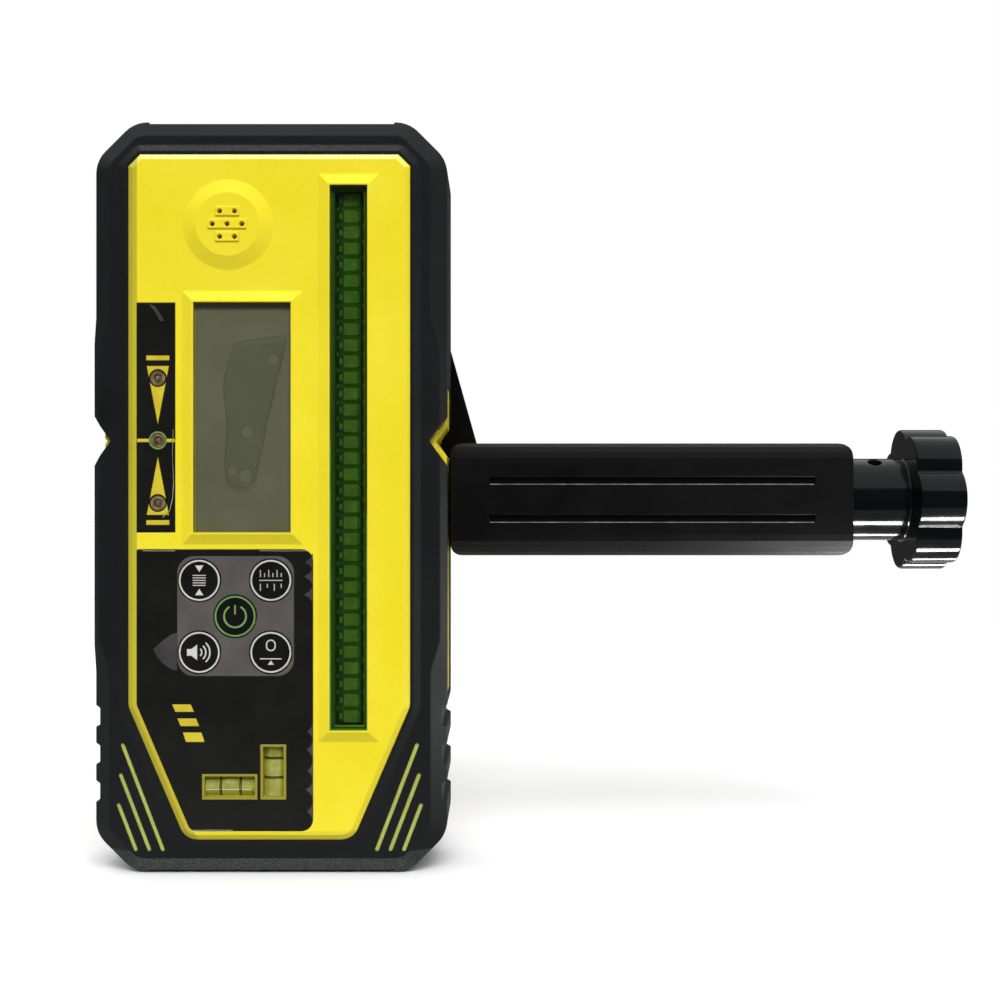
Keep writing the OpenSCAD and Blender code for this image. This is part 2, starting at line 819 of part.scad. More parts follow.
// The same thing on the left and on the right
module both_sides() {
    children();
    mirror([1, 0, 0])
        children();
}

// Everything that stands at the case screws
module at_case_screws() {
    for (z = case_screw_z)
        translate([half_w - case_screw_in, 0, z])
            children();
    for (z = case_screw_z)
        translate([case_screw_in - half_w, 0, z])
            children();
}

// Sighting notches on both sides, at the on-grade height
module notches(depth, half, side, y0, y1) {
    both_sides()
        slab(y0, y1)
            polygon([
                [side - depth, grade_z],
                [side + over, grade_z - half - half * over / depth],
                [side + over, grade_z + half + half * over / depth]
            ]);
}

// Grip notches on both sides, near the foot
module grips(y0, y1) {
    both_sides()
        for (k = [-1:1])
            slab(y0, y1)
                polygon([
                    [half_w - grip_d, grip_z + k * grip_pitch - grip_h / 2 + grip_d / 2],
                    [half_w + over, grip_z + k * grip_pitch - grip_h / 2 - over / 2],
                    [half_w + over, grip_z + k * grip_pitch + grip_h / 2 + over / 2],
                    [half_w - grip_d, grip_z + k * grip_pitch + grip_h / 2 - grip_d / 2]
                ]);
}

// Slanted bars in both lower corners, parallel to the panel's tapered foot
module corner_bars(y0, y1) {
    both_sides()
        for (k = [0:2])
            slab(y0, y1)
                translate([half_w - bar_in + k * bar_pitch, bar_z])
                    rotate(-bar_lean)
                        square_bar(bar_l - k * bar_step);
}

// One bar with rounded ends, standing on its foot
module square_bar(l) {
    translate([-bar_w / 2, 0])
        square([bar_w, l]);
    circle(d = bar_w);
    translate([0, l])
        circle(d = bar_w);
}

// Bare sides of the case, from depth y0 to y1
module bare_sides(y0, y1) {
    both_sides()
        block(
            [half_w - rubber_t - embed, y0, bare_z0],
            [half_w - bare_in, y1, bare_z0 + bare_h]
        );
}

// Cuts that leave the sides bare, from depth y0 to y1
module bare_cuts(y0, y1) {
    both_sides()
        block(
            [half_w - rim_w, y0, bare_z0],
            [half_w + over, y1, bare_z0 + bare_h]
        );
}

// Sloped frame round a window
module bezel(x0, x1, z0, z1) {
    slope = (bezel_w - bezel_rim) / bezel_rise;
    loft([
        [bezel_y, box_points(x0, x1, z0, z1, -bezel_rim)],
        [panel_y + embed, box_points(x0, x1, z0, z1, -bezel_w - embed * slope)]
    ]);
}

// Opening for a window, with a ledge behind it
module window_cut(x0, x1, z0, z1) {
    block([x0, bezel_y - over, z0], [x1, window_end_y, z1]);
    block(
        [x0 + window_ledge, window_y, z0 + window_ledge],
        [x1 - window_ledge, inner_y + over, z1 - window_ledge]
    );
}

// A window seated in its frame
module window_pane(x0, x1, z0, z1) {
    block(
        [x0 + seat_gap, window_y, z0 + seat_gap],
        [x1 - seat_gap, window_end_y, z1 - seat_gap]
    );
}

// Places of the sound holes, row by row
function sound_rows() = [
    for (row = [-1:1])
        [for (k = [0:2 - abs(row)]) [
            sounder_x + (k - (2 - abs(row)) / 2) * sound_pitch,
            sounder_z + row * sound_pitch * sin(60)
        ]]
];

// Openings of the two vials, moved in by d
module vial_openings(d, y0, y1) {
    block(
        [level_x - vial_l / 2 + d, y0, level_z - vial_w / 2 + d],
        [level_x + vial_l / 2 - d, y1, level_z + vial_w / 2 - d]
    );
    block(
        [plumb_x - vial_w / 2 + d, y0, plumb_z - vial_l / 2 + d],
        [plumb_x + vial_w / 2 - d, y1, plumb_z + vial_l / 2 - d]
    );
}

// The two vial tubes, larger by d all round
module vial_tubes(d) {
    round_x(vial_y, level_z, vial_d / 2 + d, level_x - tube_half - d, level_x + tube_half + d);
    translate([plumb_x, vial_y, plumb_z - tube_half - d])
        cylinder(h = 2 * (tube_half + d), r = vial_d / 2 + d);
}

// The outside of the front case half
module front_form() {
    loft([
        [panel_y, arcs(inset(panel_outline, edge_bevel_w))],
        [panel_y + edge_bevel_d, arcs(panel_outline)],
        [flange_y + embed, arcs(panel_outline)]
    ]);
    slab(flange_y, 0)
        polygon(arcs(shell_outline));
    bare_sides(-bare_d, 0);
    bezel(display_x0, display_x1, display_z0, display_z1);
    bezel(sensor_x0, sensor_x1, sensor_z0, sensor_z1);
    translate([sounder_x, panel_y + embed, sounder_z])
        rotate([90, 0, 0])
            cylinder(
                h = bezel_rise + embed,
                r1 = sounder_d / 2 + embed * (sounder_d - sounder_top_d) / 2 / bezel_rise,
                r2 = sounder_top_d / 2
            );
    for (row = sound_rows())
        block(
            [row[0][0] - sound_rib / 2, bezel_y - sound_rib_d, row[0][1] - sound_rib / 2],
            [row[len(row) - 1][0] + sound_rib / 2, bezel_y + embed, row[0][1] + sound_rib / 2]
        );
    corner_bars(bar_y, flange_y + embed);
}

// Posts, rails and bosses inside the front case half
module front_inside() {
    for (p = posts)
        round_y(p[0], p[1], post_d / 2, inner_y - embed, board_y);
    block(
        [sensor_board_x0, inner_y - embed, sensor_z0],
        [sensor_board_x0 + rail_w, board_y, sensor_z1]
    );
    block(
        [sensor_board_x1 - rail_w, inner_y - embed, sensor_z0],
        [sensor_board_x1, board_y, sensor_z1]
    );
    at_case_screws()
        round_y(0, 0, boss_d / 2, flange_y + embed, 0);
}

// Cuts in the front case half
module front_cuts() {
    window_cut(display_x0, display_x1, display_z0, display_z1);
    window_cut(sensor_x0, sensor_x1, sensor_z0, sensor_z1);
    for (row = sound_rows())
        for (p = row)
            round_y(p[0], p[1], sound_hole_d / 2, bezel_y - over, inner_y + over);
    round_y(sounder_x, sounder_z, buzzer_d / 2 + seat_gap, membrane_y, inner_y + over);
    block([label_x0, panel_y - over, display_z0], [label_x0 + label_w, label_y, display_z1]);
    for (k = [-1:1])
        round_y(lamp_x, grade_z + k * lamp_pitch, lamp_d / 2 + lamp_gap, panel_y - over, inner_y + over);
    difference() {
        slab(panel_y - over, label_y)
            polygon(arcs(overlay_outline));
        vial_openings(0, panel_y - 2 * over, label_y + over);
    }
    vial_openings(vial_rim, panel_y - over, inner_y + over);
    vial_tubes(vial_slack);
    for (p = key_places) {
        round_y(p[0], p[1], key_d / 2 + key_gap, panel_y - over, key_floor_y);
        round_y(p[0], p[1], stem_d / 2 + key_gap, panel_y, inner_y + over);
    }
    for (p = posts)
        round_y(p[0], p[1], board_screw_d / 2 + screw_gap, inner_y + screw_gap, board_y + over);
    at_case_screws()
        round_y(0, 0, case_screw_d / 2 + screw_gap, -case_screw_reach - embed, over);
    notches(inner_notch_d, inner_notch_half, half_w - bare_in, flange_y, over);
}

module front_shell() {
    color([0.95, 0.87, 0.16])
        difference() {
            union() {
                difference() {
                    front_form();
                    slab(inner_y, flange_y + wall)
                        polygon(arcs(inset(panel_outline, wall)));
                    slab(flange_y + wall, over)
                        polygon(arcs(inset(shell_outline, wall)));
                }
                front_inside();
            }
            front_cuts();
        }
}

// Where the rubber's bevel is narrow, with sloped ends, moved out by d
function slim_zone(d) =
    let (
        slope = slim_run / (bevel_wide - bevel_slim),
        x0 = half_w - bevel_wide - embed + d,
        x1 = half_w + over + d,
        rise = (bevel_slim + over) * slope,
        fall = slim_run + embed * slope,
        slim_z1 = slim_z0 + slim_h
    )
    [
        [-x0, slim_z0 - fall],
        [x0, slim_z0 - fall],
        [x1, slim_z0 + rise],
        [x1, slim_z1 - rise],
        [x0, slim_z1 + fall],
        [-x0, slim_z1 + fall],
        [-x1, slim_z1 - rise],
        [-x1, slim_z0 + rise]
    ];

module front_bumper() {
    color([0.12, 0.13, 0.14])
        difference() {
            union() {
                loft([
                    [tier_y, arcs(inset(body_outline, bevel_wide))],
                    [tier_y + bevel_drop, arcs(body_outline)],
                    [0, arcs(body_outline)]
                ]);
                intersection() {
                    loft([
                        [tier_y, arcs(inset(body_outline, bevel_slim))],
                        [tier_y + bevel_drop / 2, arcs(body_outline)],
                        [-bare_d, arcs(body_outline)]
                    ]);
                    loft([
                        [panel_y, slim_zone(-tier_drop * bevel_wide / bevel_drop)],
                        [tier_y + bevel_drop, slim_zone(bevel_wide)]
                    ]);
                }
                loft([
                    [tier_y - tier_rise, arcs(inset(panel_outline, tier_step - tier_w))],
                    [tier_y, arcs(inset(panel_outline, -tier_w))],
                    [tier_y + embed, arcs(inset(panel_outline, -tier_w))]
                ]);
            }
            slab(panel_y - over, flange_y + embed)
                polygon(arcs(panel_outline));
            slab(flange_y, over)
                polygon(arcs(shell_outline));
            bare_cuts(-bare_d, over);
            notches(notch_d, notch_half, half_w, panel_y, over);
            grips(panel_y, over);
            corner_bars(panel_y, flange_y + over);
            for (z = [-over, body_h - pad_relief])
                block([-relief_half, panel_y, z], [relief_half, panel_y + relief_d, z + over + pad_relief]);
        }
}

module rear_shell() {
    color([0.93, 0.85, 0.16])
        difference() {
            union() {
                difference() {
                    union() {
                        slab(0, rear_flange_y)
                            polygon(arcs(shell_outline));
                        slab(rear_flange_y - embed, back_y)
                            polygon(arcs(back_outline));
                        bare_sides(0, bare_d);
                    }
                    slab(-over, rear_flange_y - wall)
                        polygon(arcs(inset(shell_outline, wall)));
                    slab(rear_flange_y - wall - embed, rear_inner_y)
                        polygon(arcs(inset(back_outline, wall)));
                }
                rear_inside();
            }
            rear_cuts();
        }
}

// Bay walls, bosses and hinge cheeks inside the rear case half
module rear_inside() {
    block(
        [-bay_w / 2 - bay_wall, bay_y0 - bay_wall, bay_z0 - bay_wall],
        [bay_w / 2 + bay_wall, rear_inner_y + embed, bay_z1 + bay_wall]
    );
    both_sides()
        block(
            [door_half, hinge_y - relief_r, hinge_z - relief_r],
            [door_half + hinge_l + bay_wall, rear_inner_y + embed, hinge_z + relief_r]
        );
    round_y(0, grade_z, insert_boss_d / 2, back_y - insert_l - wall, rear_inner_y + embed);
    both_sides()
        round_y(dowel_dx, grade_z, dowel_d / 2 + wall, back_y - dowel_reach - wall, rear_inner_y + embed);
    at_case_screws()
        round_y(0, 0, boss_d / 2, 0, rear_flange_y - embed);
}

// Cuts in the rear case half
module rear_cuts() {
    block([-bay_w / 2, bay_y0, bay_z0], [bay_w / 2, back_y + over, bay_z1]);
    block([-door_half, rear_inner_y, hinge_z], [door_half, back_y + over, door_z1]);
    round_x(hinge_y, hinge_z, relief_r, -door_half, door_half);
    block([-door_half, hinge_y, lip_z], [door_half, back_y + over, hinge_z]);
    round_x(hinge_y, hinge_z, hinge_r + run_gap, -door_half - hinge_l, door_half + hinge_l);
    round_y(0, grade_z, insert_d / 2, back_y - insert_l, back_y + over);
    both_sides()
        round_y(dowel_dx, grade_z, dowel_d / 2 + run_gap, back_y - dowel_reach - run_gap, back_y + over);
    at_case_screws() {
        round_y(0, 0, case_screw_d / 2 + screw_gap, -over, back_y);
        round_y(0, 0, case_head_d / 2 + seat_gap, rear_flange_y - case_head_h, back_y);
    }
    seal_ring();
    both_sides()
        round_y(pin_x, pin_z, pin_d / 2 + screw_gap, bay_y0 - bay_wall - over, bay_y0 + over);
    notches(inner_notch_d, inner_notch_half, half_w - bare_in, -over, back_y);
}

// The seal in its groove
module seal_ring() {
    difference() {
        slab(0, seal_d)
            polygon(arcs(inset(shell_outline, (wall - seal_w) / 2)));
        slab(-over, seal_d + over)
            polygon(arcs(inset(shell_outline, (wall + seal_w) / 2)));
    }
}

module rear_bumper() {
    color([0.12, 0.13, 0.14])
        difference() {
            loft([
                [0, arcs(body_outline)],
                [rear_rubber_y - bevel_drop, arcs(body_outline)],
                [rear_rubber_y, arcs(inset(body_outline, bevel_wide))]
            ]);
            slab(-over, rear_flange_y)
                polygon(arcs(shell_outline));
            slab(rear_flange_y - embed, back_y + over)
                polygon(arcs(back_outline));
            bare_cuts(-over, bare_d);
            notches(notch_d, notch_half, half_w, -over, back_y);
            grips(-over, back_y);
            at_case_screws()
                round_y(0, 0, case_head_d / 2 + seat_gap, rear_flange_y - over, back_y + over);
        }
}

module case_seal() {
    color([0.2, 0.2, 0.2])
        seal_ring();
}

module case_screws() {
    color([0.7, 0.7, 0.72])
        at_case_screws() {
            round_y(0, 0, case_screw_d / 2, -case_screw_reach, rear_flange_y - case_head_h + small_edge);
            round_y(0, 0, case_head_d / 2, rear_flange_y - case_head_h, rear_flange_y);
        }
}

module display_window() {
    color([0.55, 0.56, 0.48])
        window_pane(display_x0, display_x1, display_z0, display_z1);
}

module lcd_panel() {
    color([0.45, 0.47, 0.38])
        block(
            [display_x0 - lcd_side, inner_y, display_z0 - lcd_side],
            [display_x1 + lcd_side, board_y, display_z1 + lcd_side]
        );
}

module sensor_filter() {
    color([0.12, 0.3, 0.1])
        window_pane(sensor_x0, sensor_x1, sensor_z0, sensor_z1);
}

module sensor_board() {
    color([0.1, 0.3, 0.14])
        block(
            [sensor_board_x0, board_y, sensor_z0],
            [sensor_board_x1, board_end_y, sensor_z1]
        );
}

module photodiodes() {
    color([0.16, 0.14, 0.2])
        for (k = [0:diodes - 1])
            block(
                [sensor_x - diode_w / 2, board_y - diode_t, diode_z0 + k * diode_pitch - diode_h / 2],
                [sensor_x + diode_w / 2, board_y, diode_z0 + k * diode_pitch + diode_h / 2]
            );
}

module main_board() {
    color([0.1, 0.34, 0.16])
        difference() {
            block([board_x0, board_y, board_z0], [board_x1, board_end_y, board_z1]);
            for (p = posts)
                round_y(p[0], p[1], board_screw_d / 2 + seat_gap, board_y - over, board_end_y + over);
        }
}

module board_link() {
    color([0.75, 0.5, 0.2])
        block(
            [board_x1 - link_h / 2, board_end_y, grade_z - link_h / 2],
            [sensor_board_x0 + link_h / 2, board_end_y + link_t, grade_z + link_h / 2]
        );
}

module board_screws() {
    color([0.7, 0.7, 0.72])
        for (p = posts) {
            round_y(p[0], p[1], board_screw_d / 2, inner_y + seat_gap, board_end_y + small_edge);
            round_y(p[0], p[1], board_head_d / 2, board_end_y, board_end_y + board_head_h);
        }
}

module buzzer() {
    color([0.1, 0.1, 0.1])
        round_y(sounder_x, sounder_z, buzzer_d / 2, buzzer_y, board_y);
}

module buzzer_membrane() {
    color([0.85, 0.85, 0.85])
        round_y(sounder_x, sounder_z, buzzer_d / 2, membrane_y, buzzer_y);
}

module indicator_label() {
    color([0.06, 0.06, 0.06])
        difference() {
            block(
                [label_x0 + seat_gap, panel_y, display_z0 + seat_gap],
                [label_x0 + label_w - seat_gap, label_y, display_z1 - seat_gap]
            );
            for (k = [-1:1])
                round_y(lamp_x, grade_z + k * lamp_pitch, lamp_d / 2 + lamp_gap,
                    panel_y - over, label_y + over);
        }
}

// One lamp with a domed tip
module lamp(z) {
    tip_y = panel_y + lamp_drop + lamp_d / 2;
    round_y(lamp_x, z, lamp_d / 2, tip_y, board_y);
    intersection() {
        translate([lamp_x, tip_y, z])
            sphere(d = lamp_d);
        round_y(lamp_x, z, lamp_d, panel_y, tip_y + embed);
    }
}

module arrow_lamps() {
    color([0.75, 0.62, 0.45])
        for (k = [-1, 1])
            lamp(grade_z + k * lamp_pitch);
}

module grade_lamp() {
    color([0.6, 0.72, 0.5])
        lamp(grade_z);
}

module keypad_overlay() {
    color([0.05, 0.05, 0.05])
        difference() {
            slab(panel_y, label_y)
                polygon(arcs(inset(overlay_outline, seat_gap)));
            vial_openings(-seat_gap, panel_y - over, label_y + over);
            for (p = key_places)
                round_y(p[0], p[1], key_d / 2 + key_gap, panel_y - over, label_y + over);
        }
}

// One key: cap and stem
module key(p) {
    round_y(p[0], p[1], key_d / 2, key_front_y, key_back_y);
    round_y(p[0], p[1], stem_d / 2, key_back_y - small_edge, stem_end_y);
}

module key_sensitivity() {
    color([0.3, 0.29, 0.29])
        key(key_places[0]);
}

module key_units() {
    color([0.3, 0.29, 0.29])
        key(key_places[1]);
}

module key_power() {
    color([0.3, 0.29, 0.29])
        key(key_places[2]);
}

module key_sound() {
    color([0.3, 0.29, 0.29])
        key(key_places[3]);
}

module key_zero() {
    color([0.3, 0.29, 0.29])
        key(key_places[4]);
}

module key_domes() {
    color([0.75, 0.75, 0.76])
        for (p = key_places)
            translate([p[0], board_y, p[1]])
                rotate([90, 0, 0])
                    cylinder(h = dome_h, r1 = dome_d / 2, r2 = stem_d / 2);
}

module level_vial() {
    color([0.62, 0.66, 0.16])
        round_x(vial_y, level_z, vial_d / 2, level_x - tube_half, level_x + tube_half);
}

module plumb_vial() {
    color([0.62, 0.66, 0.16])
        translate([plumb_x, vial_y, plumb_z - tube_half])
            cylinder(h = 2 * tube_half, d = vial_d);
}

module vial_cradle() {
    color([0.9, 0.9, 0.88])
        difference() {
            block([cradle_x0, inner_y, cradle_z0], [cradle_x1, cradle_y1, cradle_z1]);
            block(
                [cradle_x0 + cradle_side - vial_slack - vial_over, inner_y - over, cradle_z0 - over],
                [cradle_x1 - cradle_side + vial_slack + vial_over, vial_y, cradle_z1 + over]
            );
            vial_tubes(vial_slack);
        }
}

module battery_door() {
    color([0.93, 0.85, 0.16])
        difference() {
            union() {
                block(
                    [door_gap - door_half, rear_inner_y, hinge_z],
                    [door_half - door_gap, back_y, door_z1 - door_gap]
                );
                round_x(hinge_y, hinge_z, knuckle_r, door_gap - door_half, door_half - door_gap);
                round_x(hinge_y, hinge_z, hinge_r, -hinge_half, hinge_half);
            }
            round_x(back_y + thumb_r / 2, door_z1 - thumb_down, thumb_r, -thumb_w / 2, thumb_w / 2);
        }
}

module cells() {
    color([0.2, 0.22, 0.26])
        both_sides()
            translate([cell_x, cell_y, cell_z1 - cell_l]) {
                cylinder(h = cell_l - tip_l, d = cell_d);
                cylinder(h = cell_l, d = tip_d);
            }
}

module cell_contacts() {
    color([0.8, 0.78, 0.7])
        both_sides()
            block(
                [cell_x - contact_w / 2, cell_y - contact_d / 2, cell_z1],
                [cell_x + contact_w / 2, cell_y + contact_d / 2, bay_z1]
            );
}

module cell_springs() {
    color([0.8, 0.78, 0.7])
        both_sides()
            slab(cell_y - contact_d / 2, cell_y + contact_d / 2)
                translate([cell_x, bay_z0])
                    polygon([
                        [-contact_w / 2, 0],
                        [contact_w / 2, 0],
                        [contact_w / 2, contact_t],
                        [contact_t - contact_w / 2, contact_t],
                        [contact_t, spring_l - contact_t],
                        [contact_w / 2, spring_l - contact_t],
                        [contact_w / 2, spring_l],
                        [0, spring_l],
                        [-contact_w / 2, contact_t]
                    ]);
}

module supply_pins() {
    color([0.85, 0.7, 0.35])
        both_sides()
            round_y(pin_x, pin_z, pin_d / 2, board_end_y, bay_y0);
}

module clamp_insert() {
    color([0.8, 0.66, 0.3])
        difference() {
            round_y(0, grade_z, insert_d / 2, back_y - insert_l, back_y);
            round_y(0, grade_z, mount_d / 2 + run_gap, back_y - insert_l - over, back_y + over);
        }
}

// The arm's outside
module arm_form() {
    intersection() {
        bar(arm_x0, arm_x1)
            polygon(arcs([
                [arm_y0, arm_z0, arm_r],
                [arm_y1, arm_z0, least_r],
                [arm_y1, grade_z, least_r],
                [arm_y0, grade_z, arm_r]
            ]));
        slab(arm_y0 - over, arm_y1 + over)
            polygon(arcs([
                [arm_x0, arm_z0, arm_end_r],
                [arm_x1, arm_z0, arm_end_r],
                [arm_x1, grade_z, arm_end_r],
                [arm_x0, grade_z, arm_end_r]
            ]));
    }
}

module clamp_frame() {
    color([0.09, 0.09, 0.1])
        difference() {
            union() {
                arm_form();
                slab(back_y, arm_y1)
                    polygon(arcs(plate_outline));
                block([arm_x0, back_y, plate_foot], [fixed_x, jaw_y1, grade_z]);
                round_y(0, grade_z, thumb_d / 2, arm_y1 - embed, plate_boss_y);
            }
            block(
                [bay_x0, hollow_y0, axis_z - hollow_h / 2],
                [bay_x1, arm_y1 + over, axis_z + hollow_h / 2]
            );
            block(
                [cover_x0, cover_y0, axis_z - cover_h / 2],
                [cover_x1, arm_y1 + over, axis_z + cover_h / 2]
            );
            round_x(axis_y, axis_z, bush_d / 2, bay_x0 - tail_l, bay_x0 + over);
            round_x(axis_y, axis_z, bush_d / 2, bay_x1 - over, arm_x1);
            round_x(axis_y, axis_z, hub_d / 2 + hub_gap, floor_x, arm_x1 + over);
            for (z = [groove_1, groove_2])
                block(
                    [arm_x0 + groove_in, arm_y0 - over, grade_z - z - groove_h / 2],
                    [arm_x1 - groove_in, arm_y0 + groove_d, grade_z - z + groove_h / 2]
                );
            for (k = [-1, 1])
                round_y(cover_screw_x, axis_z + k * cover_screw_dz, cover_screw_d / 2 + screw_gap,
                    arm_y1 - cover_screw_l - embed, cover_y0 + over);
            round_y(0, grade_z, mount_d / 2 + run_gap, back_y - over, plate_boss_y + over);
            round_y(0, grade_z, clip_d / 2 + slide_gap, back_y - over, back_y + clip_t + 2 * slide_gap);
            both_sides()
                round_y(dowel_dx, grade_z, dowel_d / 2, back_y - over, arm_y1 - over);
        }
}

module locating_pins() {
    color([0.7, 0.7, 0.72])
        both_sides()
            round_y(dowel_dx, grade_z, dowel_d / 2, back_y - dowel_reach, arm_y1 - over);
}

module mount_screw() {
    color([0.12, 0.12, 0.13]) {
        round_y(0, grade_z, mount_d / 2, back_y - mount_reach, thumb_y + embed);
        difference() {
            round_y(0, grade_z, thumb_d / 2, thumb_y, thumb_y + thumb_h);
            block(
                [-thumb_d, thumb_y + thumb_h - wall, grade_z - groove_h / 2],
                [thumb_d, thumb_y + thumb_h + over, grade_z + groove_h / 2]
            );
        }
    }
}

module mount_clip() {
    color([0.6, 0.6, 0.62])
        difference() {
            round_y(0, grade_z, clip_d / 2, back_y + slide_gap, back_y + slide_gap + clip_t);
            round_y(0, grade_z, mount_d / 2, back_y - over, back_y + slide_gap + clip_t + over);
        }
}

module arm_cover() {
    color([0.09, 0.09, 0.1])
        difference() {
            block(
                [cover_x0 + seat_gap, cover_y0, axis_z - cover_h / 2 + seat_gap],
                [cover_x1 - seat_gap, arm_y1, axis_z + cover_h / 2 - seat_gap]
            );
            block(
                [bay_x0, cover_y0 - over, axis_z - slot_h / 2],
                [bay_x1, arm_y1 + over, axis_z + slot_h / 2]
            );
            for (k = [-1, 1]) {
                round_y(cover_screw_x, axis_z + k * cover_screw_dz, cover_screw_d / 2 + seat_gap,
                    cover_y0 - over, arm_y1 + over);
                round_y(cover_screw_x, axis_z + k * cover_screw_dz, cover_head_d / 2 + seat_gap,
                    arm_y1 - cover_head_h, arm_y1 + over);
            }
        }
}

module cover_screws() {
    color([0.7, 0.7, 0.72])
        for (k = [-1, 1]) {
            round_y(cover_screw_x, axis_z + k * cover_screw_dz, cover_screw_d / 2,
                arm_y1 - cover_screw_l, arm_y1 - small_edge);
            round_y(cover_screw_x, axis_z + k * cover_screw_dz, cover_head_d / 2,
                arm_y1 - cover_head_h, arm_y1);
        }
}

// A pad on a jaw, from x0 to x1
module jaw_pad(x0, x1) {
    block(
        [x0, arm_y1 + pad_in, arm_z0 + plate_lift + pad_in],
        [x1, jaw_y1 - pad_in, grade_z - plate_lift - pad_in]
    );
}

module fixed_jaw_pad() {
    color([0.16, 0.16, 0.17])
        jaw_pad(fixed_x, fixed_pad_x);
}

module moving_jaw() {
    color([0.1, 0.1, 0.11])
        difference() {
            union() {
                block(
                    [moving_x, hollow_y0 + slide_gap, axis_z - hollow_h / 2 + slide_gap],
                    [moving_x + slider_l, cover_y0 - slide_gap, axis_z + hollow_h / 2 - slide_gap]
                );
                block(
                    [moving_x, axis_y, axis_z - slot_h / 2 + slide_gap],
                    [moving_x + slider_l, arm_y1 + slide_jaw_t, axis_z + slot_h / 2 - slide_gap]
                );
                block(
                    [moving_x, arm_y1 + slide_gap, arm_z0 + plate_lift],
                    [moving_x + slide_jaw_t, jaw_y1, grade_z - plate_lift]
                );
            }
            round_x(axis_y, axis_z, lead_d / 2 + slide_gap, moving_x - over, moving_x + slider_l + over);
            round_x(axis_y, axis_z, nut_d / 2, nut_x, nut_x + nut_l);
        }
}

module moving_jaw_pad() {
    color([0.16, 0.16, 0.17])
        jaw_pad(moving_pad_x, moving_x);
}

module jaw_nut() {
    color([0.8, 0.66, 0.3])
        ring_x(lead_d / 2 + run_gap, nut_d / 2, nut_x, nut_x + nut_l);
}

module lead_screw() {
    color([0.7, 0.7, 0.72])
        round_x(axis_y, axis_z, lead_d / 2, lead_x0, lead_x1);
}

module tail_bush() {
    color([0.8, 0.66, 0.3])
        ring_x(lead_d / 2 + run_gap, bush_d / 2, bay_x0 - tail_l, bay_x0);
}

module end_bush() {
    color([0.8, 0.66, 0.3])
        ring_x(lead_d / 2 + run_gap, bush_d / 2, bay_x1, floor_x);
}

module thrust_washer() {
    color([0.7, 0.7, 0.72])
        ring_x(lead_d / 2 + run_gap, hub_d / 2 - hub_gap, floor_x, hub_x0 - run_gap);
}

module screw_collar() {
    color([0.5, 0.5, 0.52])
        ring_x(lead_d / 2, collar_d / 2, collar_x, collar_x + collar_l);
}

module knob() {
    color([0.08, 0.08, 0.09])
        difference() {
            union() {
                round_x(axis_y, axis_z, hub_d / 2, hub_x0, knob_x + embed);
                translate([knob_x, axis_y, axis_z])
                    rotate([90, 0, 90])
                        linear_extrude(knob_t)
                            lobed_outline();
            }
            round_x(axis_y, axis_z, lead_d / 2, hub_x0 - over, lead_x1);
            translate([grub_x, axis_y, axis_z])
                rotate([grub_lean, 0, 0])
                    cylinder(h = hub_d, d = grub_d);
        }
}

// The knob's outline with rounded lobes
module lobed_outline() {
    circle(r = knob_d / 2 - valley);
    for (k = [0:lobes - 1])
        rotate(180 + k * 360 / lobes)
            translate([lobe_at, 0])
                circle(r = lobe_r);
}

module grub_screw() {
    color([0.3, 0.3, 0.32])
        translate([grub_x, axis_y, axis_z])
            rotate([grub_lean, 0, 0])
                translate([0, 0, lead_d / 2])
                    cylinder(h = grub_l, d = grub_d);
}

front_shell();
front_bumper();
rear_shell();
rear_bumper();
case_seal();
case_screws();
display_window();
lcd_panel();
sensor_filter();
sensor_board();
photodiodes();
main_board();
board_link();
board_screws();
buzzer();
buzzer_membrane();
indicator_label();
arrow_lamps();
grade_lamp();
keypad_overlay();
key_sensitivity();
key_units();
key_power();
key_sound();
key_zero();
key_domes();
level_vial();
plumb_vial();
vial_cradle();
battery_door();
cells();
cell_contacts();
cell_springs();
supply_pins();
clamp_insert();
clamp_frame();
locating_pins();
mount_screw();
mount_clip();
arm_cover();
cover_screws();
fixed_jaw_pad();
moving_jaw();
moving_jaw_pad();
jaw_nut();
lead_screw();
tail_bush();
end_bush();
thrust_washer();
screw_collar();
knob();
grub_screw();
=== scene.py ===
# %% [markdown]
# A laser receiver stands in its staff clamp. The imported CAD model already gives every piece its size,
# its place and the body that it moves with. This lesson adds what a CAD solid lacks: rounded edges,
# printed marks, threads and knurling, and a finish for each material. Lengths of pieces are written in
# millimetres and multiplied by MM where Blender needs metres; lights and shader patterns are in metres.

# %% Load the frame
import json
import math

